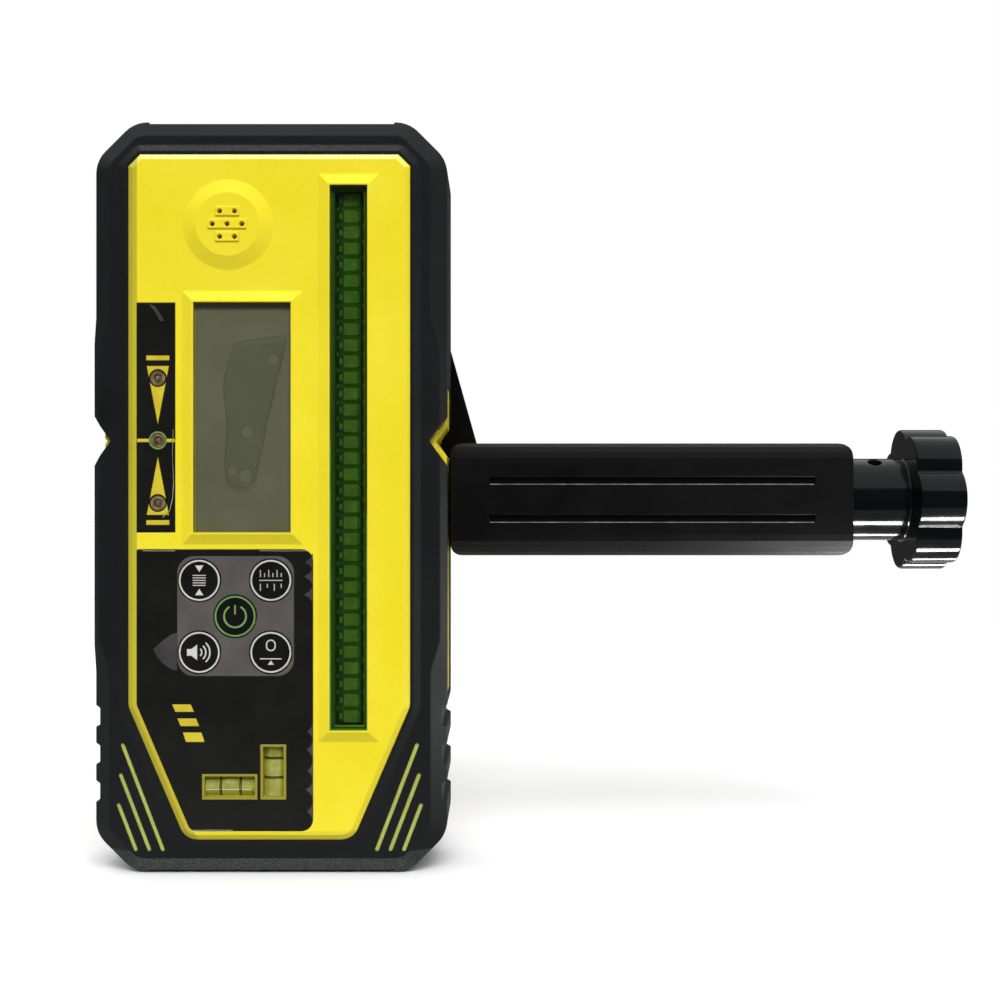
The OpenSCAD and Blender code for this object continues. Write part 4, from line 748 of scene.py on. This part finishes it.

# %% [markdown]
# The filter is a strip of clear green plastic. The glow of its cut edges, a brighter green at the sides and
# the foot, is painted as a thin band, and a dark frame on its back, which hides the edge of the board, is
# painted shade at the rim of the window.

# %% Painted glow and shade of the filter
filter_low, filter_high = corners("sensor_filter")
left, right, foot, top = filter_low.x, filter_high.x, filter_low.z, filter_high.z
GLOW = 0.14
# painted glow: a thin bright green band along the cut edges
filter_edge_glow = named("filter_edge_glow", plate([
    (left, 96), (left, foot), (right, foot), (right, 80),
    (right - GLOW, 80), (right - GLOW, foot + GLOW), (left + GLOW, foot + GLOW), (left + GLOW, 96),
], filter_low.y))
# painted shade: a dark frame on the filter's back, open in the middle
shade_sheet = plate(square(left + 0.1, right - 0.1, foot + 0.1, top - 0.1), filter_high.y)
frame_hole = plate(square(left + 0.85, right - 0.7, foot + 0.5, top - 0.9), filter_high.y + 1, 2)
filter_shade_frame = named("filter_shade_frame", cut(shade_sheet, frame_hole))
print("filter's frame:", len(filter_shade_frame.data.polygons), "faces")

# %% [markdown]
# The two vials are tubes of tinted liquid. Black rings mark where the bubble belongs, and the bubble
# itself is a flattened ball that shows at the front of the tube. A ring round a tube is a rod without
# end faces, given a wall by Solidify. A pale line on the level vial is a painted highlight of the gloss
# along its tube.

# %% Rings and bubbles of the vials
TUBE, RING_WIDTH = 2.9, 0.2
level_mid, plumb_mid = middle("level_vial"), middle("plumb_vial")


def tube_ring(axis, along, across):
    piece = rod(axis, along - RING_WIDTH / 2, along + RING_WIDTH / 2, across, TUBE + 0.02, ends="NOTHING")
    return finish_with(piece, "SOLIDIFY", thickness=0.06 * MM, offset=0)


vial_rings = join("vial_rings", [
    tube_ring("x", level_mid.x + dx, level_mid.yz) for dx in (-2.35, -2.05, 2.05, 2.35)
] + [
    tube_ring("z", plumb_mid.z + dz, plumb_mid.xy) for dz in (-1.55, -1.25, 2.75, 3.05)
])


def bubble(vial_mid, rise, half_x, half_z):
    nothing_selected()
    place = vial_mid + Vector((0, 0.42 - TUBE, rise))
    bpy.ops.mesh.primitive_uv_sphere_add(segments=32, ring_count=16, radius=MM, location=place * MM)
    bpy.context.object.scale = (half_x, 0.5, half_z)
    return smooth(settle(), 60)


vial_bubbles = join("vial_bubbles", [bubble(level_mid, 0.9, 1.75, 0.95), bubble(plumb_mid, 2.0, 0.95, 1.0)])
# painted highlight: a pale line along the level vial's tube
vial_glint = named("vial_glint", bar(-14.1, -4.1, 18.95, 19.15, level_mid.y - TUBE + 0.12))
print("vial rings and bubbles:", len(vial_rings.data.polygons), len(vial_bubbles.data.polygons), "faces")

# %% [markdown]
# A finish is more than a colour: grain in the mould, a slow change of tone, and edges rubbed by use. Each
# is a small net of shader nodes, and these helpers add a node and feed its sockets. Tones are written as a
# paint program shows them, from 0 to 255, and are turned into the linear light that Blender works in.

# %% Node helpers
def tone(red, green, blue):
    def linear(value):
        value = value / 255
        return value / 12.92 if value <= 0.04045 else ((value + 0.055) / 1.055) ** 2.4
    return (linear(red), linear(green), linear(blue), 1.0)


def feed(tree, socket, value):
    if hasattr(value, "is_output"):
        tree.links.new(value, socket)
    else:
        socket.default_value = value


def put(tree, kind, **values):
    node = tree.nodes.new(kind)
    for name, value in values.items():
        feed(tree, node.inputs[name.replace("_", " ").title()], value)
    return node


def spread(tree, value, low=0.0, high=1.0, start=0.3, end=0.7):
    node = put(tree, "ShaderNodeMapRange", value=value, from_min=start, from_max=end, to_min=low, to_max=high)
    return node.outputs["Result"]


def blend(tree, factor, first, second):
    node = tree.nodes.new("ShaderNodeMix")
    node.data_type = "RGBA"
    for index, value in ((0, factor), (6, first), (7, second)):
        feed(tree, node.inputs[index], value)
    return node.outputs[2]


def drift(tree, value, dark, light):
    return blend(tree, spread(tree, value), tone(*dark), tone(*light))


def combine(tree, how, first, second):
    node = tree.nodes.new("ShaderNodeMath")
    node.operation = how
    for socket, value in zip(node.inputs, (first, second)):
        feed(tree, socket, value)
    return node.outputs[0]


def times(tree, first, second):
    return combine(tree, "MULTIPLY", first, second)


def object_place(tree):
    return tree.nodes.new("ShaderNodeTexCoord").outputs["Object"]


def noise(tree, scale, detail, vector=None):
    if vector is None:
        vector = object_place(tree)
    return put(tree, "ShaderNodeTexNoise", vector=vector, scale=scale, detail=detail).outputs["Fac"]


print("middle grey in linear light:", round(tone(128, 128, 128)[0], 3))

# %% [markdown]
# An effect that many finishes share is a node group with named inputs, built once. The first gives a fine
# grain and a slow change of tone. It reads Object coordinates in metres, so a scale of 4000 gives grains of
# about a quarter of a millimetre.

# %% Group for moulded grain
def new_group(name, inputs, outputs):
    group = bpy.data.node_groups.new(name, "ShaderNodeTree")
    for socket, value in inputs.items():
        group.interface.new_socket(socket, in_out="INPUT", socket_type="NodeSocketFloat").default_value = value
    for socket, kind in outputs.items():
        group.interface.new_socket(socket, in_out="OUTPUT", socket_type="NodeSocket" + kind)
    return group, group.nodes.new("NodeGroupInput").outputs, group.nodes.new("NodeGroupOutput").inputs


grain, given, result = new_group(
    "moulded_grain", {"Grain": 4000, "Mottle": 60}, {"Height": "Float", "Tone": "Float"})
grain.links.new(noise(grain, given["Grain"], 2.0), result["Height"])
grain.links.new(noise(grain, given["Mottle"], 4.0), result["Tone"])
print("group:", grain.name)

# %% [markdown]
# The second group finds edges. A Bevel node bends the normal near them, which rounds them in the light.
# Where the bent normal leaves the true one and a patchy noise allows it, the edge counts as rubbed.

# %% Group for rubbed edges
edges, given, result = new_group(
    "rubbed_edges", {"Reach": 0.0006, "Patch": 250}, {"Mask": "Float", "Normal": "Vector"})
bent = put(edges, "ShaderNodeBevel", radius=given["Reach"]).outputs["Normal"]
turn = edges.nodes.new("ShaderNodeVectorMath")
turn.operation = "DOT_PRODUCT"
edges.links.new(bent, turn.inputs[0])
edges.links.new(edges.nodes.new("ShaderNodeNewGeometry").outputs["Normal"], turn.inputs[1])
near = spread(edges, turn.outputs["Value"], 1.0, 0.0, 0.86, 0.99)
patchy = spread(edges, noise(edges, given["Patch"], 5.0), 0.0, 1.0, 0.38, 0.66)
edges.links.new(times(edges, near, patchy), result["Mask"])
edges.links.new(bent, result["Normal"])
print("group:", edges.name)

# %% [markdown]
# The third group finds the slopes that face up under the case's top edge, which get a painted highlight,
# and those that face down at its foot, which get a painted reflection of the floor. Both are broken up by
# fine specks.

# %% Group for painted highlights and floor reflections on slopes
slopes, given, result = new_group(
    "lit_slopes", {"Ledge": 0.1625, "Ground": 0.0055}, {"Up": "Float", "Down": "Float"})
normal = slopes.nodes.new("ShaderNodeTexCoord").outputs["Normal"]
facing = put(slopes, "ShaderNodeSeparateXYZ", vector=normal).outputs["Z"]
point = put(slopes, "ShaderNodeSeparateXYZ", vector=object_place(slopes)).outputs
specks = spread(slopes, noise(slopes, 2500.0, 4.0), 0.25, 1.0, 0.35, 0.65)
under_ledge = combine(slopes, "SUBTRACT", given["Ledge"], point["Z"])
under_ground = combine(slopes, "SUBTRACT", given["Ground"], point["Z"])
from_middle = combine(slopes, "ABSOLUTE", point["X"], 0.0)
on_ledge = times(slopes, spread(slopes, under_ledge, 0.0, 1.0, 0.0, 0.0004),
                 spread(slopes, from_middle, 1.0, 0.0, 0.03, 0.031))
on_ledge = times(slopes, on_ledge, spread(slopes, under_ledge, 1.0, 0.0, 0.0055, 0.006))
on_ground = spread(slopes, under_ground, 0.0, 1.0, 0.0, 0.0004)
for name, start, end, where in (("Up", 0.25, 0.6, on_ledge), ("Down", -0.25, -0.6, on_ground)):
    slope = times(slopes, spread(slopes, facing, 0.0, 1.0, start, end), where)
    slopes.links.new(times(slopes, slope, specks), result[name])
print("group:", slopes.name)

# %% [markdown]
# The fourth group finds the lip at the panel's left, lower left and lower edge and the frames of the vials,
# where it paints shade because little light reaches them. Each is a range of the point's place: along X,
# along Z, or along a line across the slanted corner, given by the two parts of its direction.

# %% Group for the painted shade on the panel's border
border, given, result = new_group("painted_border_shade", {"Lip": 0.55, "Frames": 0.9}, {"Mask": "Float"})
point = put(border, "ShaderNodeSeparateXYZ", vector=object_place(border)).outputs
BLUR = 0.0001
CORNER_X, CORNER_Z = 0.913, 0.41
BOTTOM_SHARE = 0.35


def within(value, low, high):
    rising = spread(border, value, 0.0, 1.0, low - BLUR, low + BLUR)
    return times(border, rising, spread(border, value, 1.0, 0.0, high - BLUR, high + BLUR))


def strongest(first, second):
    return combine(border, "MAXIMUM", first, second)


slant = combine(border, "ADD", times(border, point["X"], CORNER_X), times(border, point["Z"], CORNER_Z))
left_lip = within(point["X"], -0.04, -0.0291)
corner_lip = times(border, within(slant, -0.03, -0.01095), within(point["X"], -0.04, -0.012))
bottom_lip = times(border, within(point["Z"], 0.0, 0.01), BOTTOM_SHARE)
lip = strongest(strongest(left_lip, corner_lip), bottom_lip)
vial_frames = times(border, within(point["X"], -0.0175, 0.0065), within(point["Z"], 0.013, 0.0325))
shade = strongest(times(border, lip, given["Lip"]), times(border, vial_frames, given["Frames"]))
border.links.new(times(border, shade, within(point["Y"], -0.05, -0.0135)), result["Mask"])
print("group:", border.name)

# %% [markdown]
# The last group draws the fine lines that a lathe leaves: noise that is stretched along one axis.

# %% Group for turning lines
lathe, given, result = new_group("turning_lines", {"Along": 60, "Across": 2500}, {"Mask": "Float"})
stretch = put(lathe, "ShaderNodeCombineXYZ", x=given["Along"], y=given["Across"], z=given["Across"])
stretched = lathe.nodes.new("ShaderNodeVectorMath")
stretched.operation = "MULTIPLY"
lathe.links.new(object_place(lathe), stretched.inputs[0])
lathe.links.new(stretch.outputs[0], stretched.inputs[1])
lathe.links.new(noise(lathe, 1.0, 3.0, stretched.outputs[0]), result["Mask"])
print("group:", lathe.name)

# %% [markdown]
# Most pieces are moulded: a base tone that drifts a little, a roughness that drifts with it, a grain that
# a Bump node turns into relief, and edges that are rounded and perhaps rubbed paler. Some also get painted
# light on their slopes: a highlight on top and a reflection of the floor at the foot. One function builds
# that material from a few numbers, so the yellow case, the rubber and the clamp differ only in those.

# %% How a moulded finish is built
def use_group(tree, group, **values):
    node = tree.nodes.new("ShaderNodeGroup")
    node.node_tree = group
    for name, value in values.items():
        node.inputs[name.title()].default_value = value
    return node


def bare_finish(name):
    material = bpy.data.materials.new(name)
    material.use_nodes = True
    tree = material.node_tree
    return material, tree, tree.nodes["Principled BSDF"]


def relief(tree, shader, height, strength, distance):
    bump = put(tree, "ShaderNodeBump", strength=strength, distance=distance * MM, height=height)
    tree.links.new(bump.outputs["Normal"], shader.inputs["Normal"])
    return bump


def moulded(name, dark, light, rough, grain_scale=4000, mottle=60, bump=0.2, depth=0.02, rubbed=None,
            reach=0.25, top_highlight=None, floor_reflection=None, ground=0.0055, specular=None):
    material, tree, shader = bare_finish(name)
    texture = use_group(tree, grain, grain=grain_scale, mottle=mottle).outputs
    speckle = combine(tree, "ADD", texture["Tone"], spread(tree, texture["Height"], -0.1, 0.1))
    colour = drift(tree, speckle, dark, light)
    wear = use_group(tree, edges, reach=reach * MM).outputs
    if rubbed:
        colour = blend(tree, wear["Mask"], colour, tone(*rubbed))
    # slopes facing up get a painted highlight, slopes facing down a painted reflection of the floor
    for socket, painted_light_tone in (("Up", top_highlight), ("Down", floor_reflection)):
        if painted_light_tone:
            slope = use_group(tree, slopes, ground=ground).outputs[socket]
            colour = blend(tree, slope, colour, tone(*painted_light_tone))
    tree.links.new(colour, shader.inputs["Base Color"])
    tree.links.new(spread(tree, texture["Tone"], rough - 0.05, rough + 0.05), shader.inputs["Roughness"])
    grains = relief(tree, shader, texture["Height"], bump, depth)
    tree.links.new(wear["Normal"], grains.inputs["Normal"])
    if specular is not None:
        shader.inputs["Specular IOR Level"].default_value = specular
    return material


# %% Moulded finishes
MOULDED = {
    # dark tone, light tone, roughness, grain, mottle, strength and depth of the relief, then the extras
    # the tones for slopes facing up and down are painted light: a highlight above, a floor reflection below
    "yellow_case": ((243, 223, 34), (250, 232, 52), 0.5, 3500, 50, 0.3, 0.03,
                    dict(rubbed=(252, 242, 120), reach=0.3, top_highlight=(255, 254, 190), specular=0.3)),
    "black_rubber": ((13, 15, 16), (20, 22, 23), 0.6, 5000, 70, 0.25, 0.02,
                     dict(rubbed=(52, 54, 55), reach=0.35, top_highlight=(80, 82, 80), floor_reflection=(100, 104, 104),
                          specular=0.3)),
    "black_plastic": ((8, 8, 9), (12, 12, 13), 0.5, 2600, 80, 0.5, 0.05,
                      dict(rubbed=(38, 38, 40), reach=0.35, floor_reflection=(46, 46, 48), ground=1.0, specular=0.12)),
    "knob_plastic": ((7, 9, 10), (12, 14, 15), 0.12, 2500, 90, 0.05, 0.01, dict(specular=0.2)),
    "black_label": ((22, 23, 21), (28, 28, 26), 0.3, 6000, 120, 0.05, 0.01, dict(specular=0.15)),
    "grey_key": ((10, 10, 11), (16, 16, 17), 0.4, 6000, 150, 0.05, 0.01, dict(specular=0.3)),
    "lcd_grey": ((142, 143, 120), (152, 153, 129), 0.4, 9000, 90, 0.03, 0.01, dict(specular=0.3)),
    "white_plastic": ((205, 204, 196), (220, 219, 212), 0.5, 4000, 60, 0.1, 0.02, {}),
    "porous_film": ((190, 190, 188), (215, 215, 212), 0.8, 9000, 200, 0.4, 0.04, {}),
    "dark_chip": ((92, 98, 86), (112, 118, 102), 0.3, 5000, 300, 0.05, 0.01, {}),
    "circuit_board": ((62, 98, 70), (84, 122, 92), 0.4, 3000, 350, 0.15, 0.02, {}),
    "copper_film": ((150, 90, 40), (176, 112, 56), 0.4, 4000, 200, 0.1, 0.01, {}),
}
finishes = {name: moulded(name, *row, **extras) for name, (*row, extras) in MOULDED.items()}
print("moulded finishes:", len(finishes))

# %% [markdown]
# The panel's lip and the vial frames lie between the black film and the rubber, where little light comes in,
# so their shade is painted into the case's colour: the border group's mask blends a darker tone in between
# the case's colour and its shader, as one more mix.

# %% Painted shade on the border of the case
def colour_source(material):
    tree = material.node_tree
    colour = tree.nodes["Principled BSDF"].inputs["Base Color"]
    return tree, colour, colour.links[0].from_socket


tree, colour, case_tone = colour_source(finishes["yellow_case"])
# painted shade: the lip and the vial frames blend towards a darker yellow
tree.links.new(blend(tree, use_group(tree, border).outputs["Mask"], case_tone, tone(140, 135, 52)), colour)
print("case tone reads:", colour.links[0].from_node.bl_idname)

# %% [markdown]
# Metal pieces are turned or plated. Their gloss is broken by fine lines along the lathe's cut, so the
# roughness follows stretched noise. Metallic is the same all over and stays a plain number.

# %% Metal finishes
def turned(name, dark, light, rough):
    material, tree, shader = bare_finish(name)
    lines = use_group(tree, lathe, along=200, across=2500).outputs["Mask"]
    tree.links.new(drift(tree, lines, dark, light), shader.inputs["Base Color"])
    tree.links.new(spread(tree, lines, rough - 0.08, rough + 0.1), shader.inputs["Roughness"])
    relief(tree, shader, lines, 0.1, 0.01)
    shader.inputs["Metallic"].default_value = 1.0
    return material


METALS = {  # dark tone, light tone, roughness
    "steel": ((170, 170, 172), (205, 205, 208), 0.28),
    "brass": ((190, 150, 70), (222, 186, 106), 0.3),
}
finishes.update({name: turned(name, *row) for name, row in METALS.items()})
print("metals:", list(METALS))

# %% [markdown]
# The display window, the green filter and the loose film are clear. Light that goes straight through is a
# Transparent shader tinted by the plastic, and a Fresnel node adds the gloss of its face, more of it at a
# slant. This lets the diodes behind the filter and the dark display show, with no noise from bent light.

# %% Clear finishes
PLASTIC_INDEX, FILM_INDEX = 1.35, 1.06


def mix_shaders(tree, factor, first, second, output):
    mix = tree.nodes.new("ShaderNodeMixShader")
    for socket, value in zip(mix.inputs, (factor, first, second)):
        tree.links.new(value, socket)
    tree.links.new(mix.outputs[0], tree.nodes[output].inputs["Surface"])


def clear(name, tint, deep, gloss, mottle, index):
    material, tree, shader = bare_finish(name)
    tree.nodes.remove(shader)
    cloud = noise(tree, mottle, 4.0)
    through = put(tree, "ShaderNodeBsdfTransparent", color=drift(tree, cloud, tint, deep))
    shine = put(tree, "ShaderNodeBsdfGlossy", color=(1, 1, 1, 1),
                roughness=spread(tree, cloud, gloss, gloss + 0.08))
    slant = tree.nodes.new("ShaderNodeFresnel")
    slant.inputs["IOR"].default_value = index
    mix_shaders(tree, slant.outputs[0], through.outputs[0], shine.outputs[0], "Material Output")
    return material


CLEAR = {  # thin tint, deep tint, roughness, mottle, index of refraction
    "clear_window": ((246, 247, 242), (240, 241, 236), 0.04, 60, PLASTIC_INDEX),
    "green_filter": ((208, 231, 184), (198, 226, 174), 0.05, 120, PLASTIC_INDEX),
    "clinging_film": ((247, 249, 245), (243, 244, 240), 0.05, 90, FILM_INDEX),
    "film_rim": ((236, 237, 232), (224, 226, 220), 0.05, 300, FILM_INDEX),
}
finishes.update({name: clear(name, *row) for name, row in CLEAR.items()})
print("clear finishes:", list(CLEAR))

# %% [markdown]
# A lamp is milky and a vial holds tinted liquid. Both have a cloudy tone under a glossy coat, so one
# function builds the two.

# %% Lamps and vials
def coated(name, dark, light, grain_scale, mottle, bump, depth, rough, coat_weight):
    material, tree, shader = bare_finish(name)
    cloud = use_group(tree, grain, grain=grain_scale, mottle=mottle).outputs["Tone"]
    tree.links.new(drift(tree, cloud, dark, light), shader.inputs["Base Color"])
    relief(tree, shader, cloud, bump, depth)
    shader.inputs["Roughness"].default_value = rough
    shader.inputs["Coat Weight"].default_value = coat_weight
    return material


finishes["lamp_clear"] = coated("lamp_clear", (82, 68, 42), (150, 130, 94), 1500, 900, 0.2, 0.1, 0.12, 1.0)
finishes["vial_green"] = coated("vial_green", (140, 142, 52), (178, 178, 80), 1200, 400, 0.05, 0.05, 0.1, 0.6)
print("coated:", finishes["lamp_clear"].name, finishes["vial_green"].name)

# %% [markdown]
# A battery cell has a dark sleeve with a copper band near its top. The band is placed by the height of the
# point, and both tones carry fine lines round the cell.

# %% Battery cells
BAND = 0.0145
cell, tree, shader = bare_finish("cell_sleeve")
height = put(tree, "ShaderNodeSeparateXYZ", vector=object_place(tree)).outputs["Z"]
band_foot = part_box("cells")[1].z - BAND
band = spread(tree, height, 0.0, 1.0, band_foot, band_foot + 0.0003)
lines = use_group(tree, lathe, along=2500, across=80).outputs["Mask"]
sleeve = drift(tree, lines, (24, 26, 30), (36, 38, 44))
copper = drift(tree, lines, (176, 108, 60), (206, 140, 86))
tree.links.new(blend(tree, band, sleeve, copper), shader.inputs["Base Color"])
tree.links.new(spread(tree, lines, 0.25, 0.4), shader.inputs["Roughness"])
shader.inputs["Metallic"].default_value = 0.5
finishes["cell_sleeve"] = cell
print("finishes:", sorted(finishes))

# %% [markdown]
# The printed marks have their own inks. Ink is a thin even coat, so its tone hardly drifts, but it still has
# a fine grain that breaks its gloss. The air in the vials joins the list, with a glossier skin.

# %% Inks
INKS = {
    # dark tone, light tone, roughness, mottle
    "ink_yellow": ((206, 186, 40), (226, 204, 56), 0.4, 300),
    "ink_cream": ((206, 203, 194), (224, 221, 213), 0.4, 300),
    "ink_green": ((104, 150, 82), (126, 172, 98), 0.4, 300),
    "ink_grey": ((82, 78, 78), (95, 91, 90), 0.38, 140),
    "ink_black": ((8, 8, 8), (14, 14, 14), 0.4, 300),
    "film_haze": ((58, 54, 56), (74, 70, 72), 0.3, 140),
    "film_glint": ((150, 150, 146), (214, 214, 210), 0.2, 200),
    "bar_yellow": ((174, 182, 84), (192, 200, 106), 0.5, 300),
    "painted_groove_highlight": ((92, 92, 90), (150, 150, 147), 0.25, 400),
    "bright_glint": ((224, 226, 205), (244, 245, 230), 0.2, 300),
    "dark_strip": ((100, 120, 86), (122, 142, 108), 0.4, 500),
    "filter_shade": ((84, 106, 66), (102, 124, 82), 0.4, 300),
    "sensor_square": ((186, 180, 160), (220, 214, 190), 0.25, 500),
    "solder": ((176, 178, 170), (214, 216, 208), 0.3, 500),
    "painted_filter_glow": ((30, 150, 70), (60, 190, 100), 0.2, 200),
}
inks = {
    name: moulded(name, dark, light, rough, 6000, mottle, 0.05, 0.005)
    for name, (dark, light, rough, mottle) in INKS.items()
}
inks["air"] = moulded("air", (164, 166, 84), (186, 186, 110), 0.12, 3000, 300, 0.02, 0.005)
print("inks:", len(inks))

# %% [markdown]
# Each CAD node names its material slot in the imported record, so its finish is found there. A stand-in takes
# the finish and the body of the node that it replaces.

# %% Finishes of the CAD nodes and their stand-ins
def coat(piece, material):
    piece.data.materials.clear()
    piece.data.materials.append(material)


slot_of = {part["node"]: part["material_slot"] for part in frame["record"]["subparts"]}
for node, slot in slot_of.items():
    coat(frame["nodes"][node], finishes[slot])
for node, piece in stand_ins.items():
    coat(piece, finishes[slot_of[node]])
    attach(piece, frame["nodes"][node]["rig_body"])
    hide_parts(node)
print("nodes:", len(slot_of), "stand-ins:", len(stand_ins))

# %% [markdown]
# The marks replace no node. Each is listed with an ink and the slot of what it is printed on, and gets the
# ink and the body that carries it: nearly all the receiver, the groove edges the clamp, and each sign its own
# key.

# %% Inks and bodies of the marks
RECEIVER_MARKS = [
    (indicator_marks, "ink_yellow", "black_label"),
    (lamp_rims, "ink_black", "black_label"),
    (grade_rim, "ink_green", "black_label"),
    (key_field, "ink_grey", "black_label"),
    (stripes, "ink_yellow", "black_label"),
    (loose_film, "film_haze", "black_label"),
    (label_streak, "film_haze", "black_label"),
    (film_glints, "film_glint", "black_label"),
    (display_film, "clinging_film", "clear_window"),
    (film_rims, "film_rim", "clear_window"),
    (polariser, "lcd_grey", "lcd_grey"),
    (bar_faces, "bar_yellow", "yellow_case"),
    (sensor_strip, "dark_strip", "circuit_board"),
    (filter_shade_frame, "filter_shade", "black_label"),
    (lamp_lenses, "lamp_clear", "lamp_clear"),
    (vial_glint, "bright_glint", "vial_green"),
    (sensor_squares, "sensor_square", "dark_chip"),
    (solder_lands, "solder", "steel"),
    (filter_edge_glow, "painted_filter_glow", "green_filter"),
    (vial_rings, "ink_black", "vial_green"),
    (vial_bubbles, "air", "vial_green"),
]
marks = [(piece, "receiver", finish, slot) for piece, finish, slot in RECEIVER_MARKS]
marks.append((groove_highlights, "clamp", "painted_groove_highlight", "black_plastic"))
for key, piece in key_signs.items():
    marks.append((piece, "key_" + key + "_body", "ink_green" if key == "power" else "ink_cream", "grey_key"))
for piece, body, finish, slot in marks:
    coat(piece, inks.get(finish) or finishes[finish])
    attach(piece, body)
print("marks:", len(marks))

# %% [markdown]
# The object stands on a plain white floor. To the camera the floor is nearly white, but it throws back less
# light than it shows, so that it doesn't light the lower case too strongly.

# %% Floor
FLOOR_HALF, FLOOR_BACK, FLOOR_FRONT = 0.75, 0.6, -0.14
nothing_selected()
bpy.ops.mesh.primitive_plane_add(size=2, location=(0, 0, -0.1 * MM))
floor = named("floor", bpy.context.object)
for corner in floor.data.vertices:
    corner.co = (corner.co.x * FLOOR_HALF, FLOOR_BACK if corner.co.y > 0 else FLOOR_FRONT, 0)
settle()
pale_floor = moulded("pale_floor", (249, 249, 249), (252, 252, 252), 0.7, 300, 3, 0.02, 0.05)
tree, colour, bright = colour_source(pale_floor)
camera_ray = tree.nodes.new("ShaderNodeLightPath").outputs["Is Camera Ray"]
tree.links.new(blend(tree, camera_ray, tone(186, 186, 186), bright), colour)
coat(floor, pale_floor)
print("floor:", [round(v, 2) for v in floor.dimensions])

# %% [markdown]
# The light is soft: one very large softbox overhead, which also makes the floor a second light from below,
# and a key light from the upper right, kept out of reflections. Two thin strips near the floor draw the
# bright lines low on the glossy knob and light nothing else.

# %% Lights
def softbox(name, place, aim, size, power):
    nothing_selected()
    bpy.ops.object.light_add(type="AREA", location=place)
    light = named(name, bpy.context.object)
    light.data.shape = "RECTANGLE"
    light.data.size, light.data.size_y = size
    light.data.energy = power
    light.rotation_euler = (Vector(aim) - Vector(place)).to_track_quat("-Z", "Y").to_euler()
    return light


softbox("overhead_light", (0.05, 0, 2.5), (0.05, 0, 0), (8, 8), 220)
key_light = softbox("key_light", (0.2, -1.1, 1.2), (0.03, 0, 0.09), (0.9, 0.9), 20.2)
key_light.visible_glossy = False
for name, y, power in (("low_strip_front", -0.026, 0.4), ("low_strip_back", 0.045, 0.1)):
    strip = softbox(name, (0.167, y, 0.004), (0.167, y, 1), (0.06, 0.014), power)
    strip.visible_camera = False
    strip.visible_diffuse = False

# %% [markdown]
# The world is white to the camera and nearly dark as a light, so that black pieces stay black. The Standard
# view keeps the tones as they are written, with no film curve over them.

# %% World
world = bpy.data.worlds.new("studio")
bpy.context.scene.world = world
world.use_nodes = True
tree = world.node_tree
seen = tree.nodes["Background"]
lit = tree.nodes.new("ShaderNodeBackground")
for background, strength in ((seen, 1.0), (lit, 0.1)):
    background.inputs["Color"].default_value = (1, 1, 1, 1)
    background.inputs["Strength"].default_value = strength
camera_ray = tree.nodes.new("ShaderNodeLightPath").outputs["Is Camera Ray"]
mix_shaders(tree, camera_ray, lit.outputs[0], seen.outputs[0], "World Output")
bpy.context.scene.view_settings.view_transform = "Standard"
print("world:", world.name)
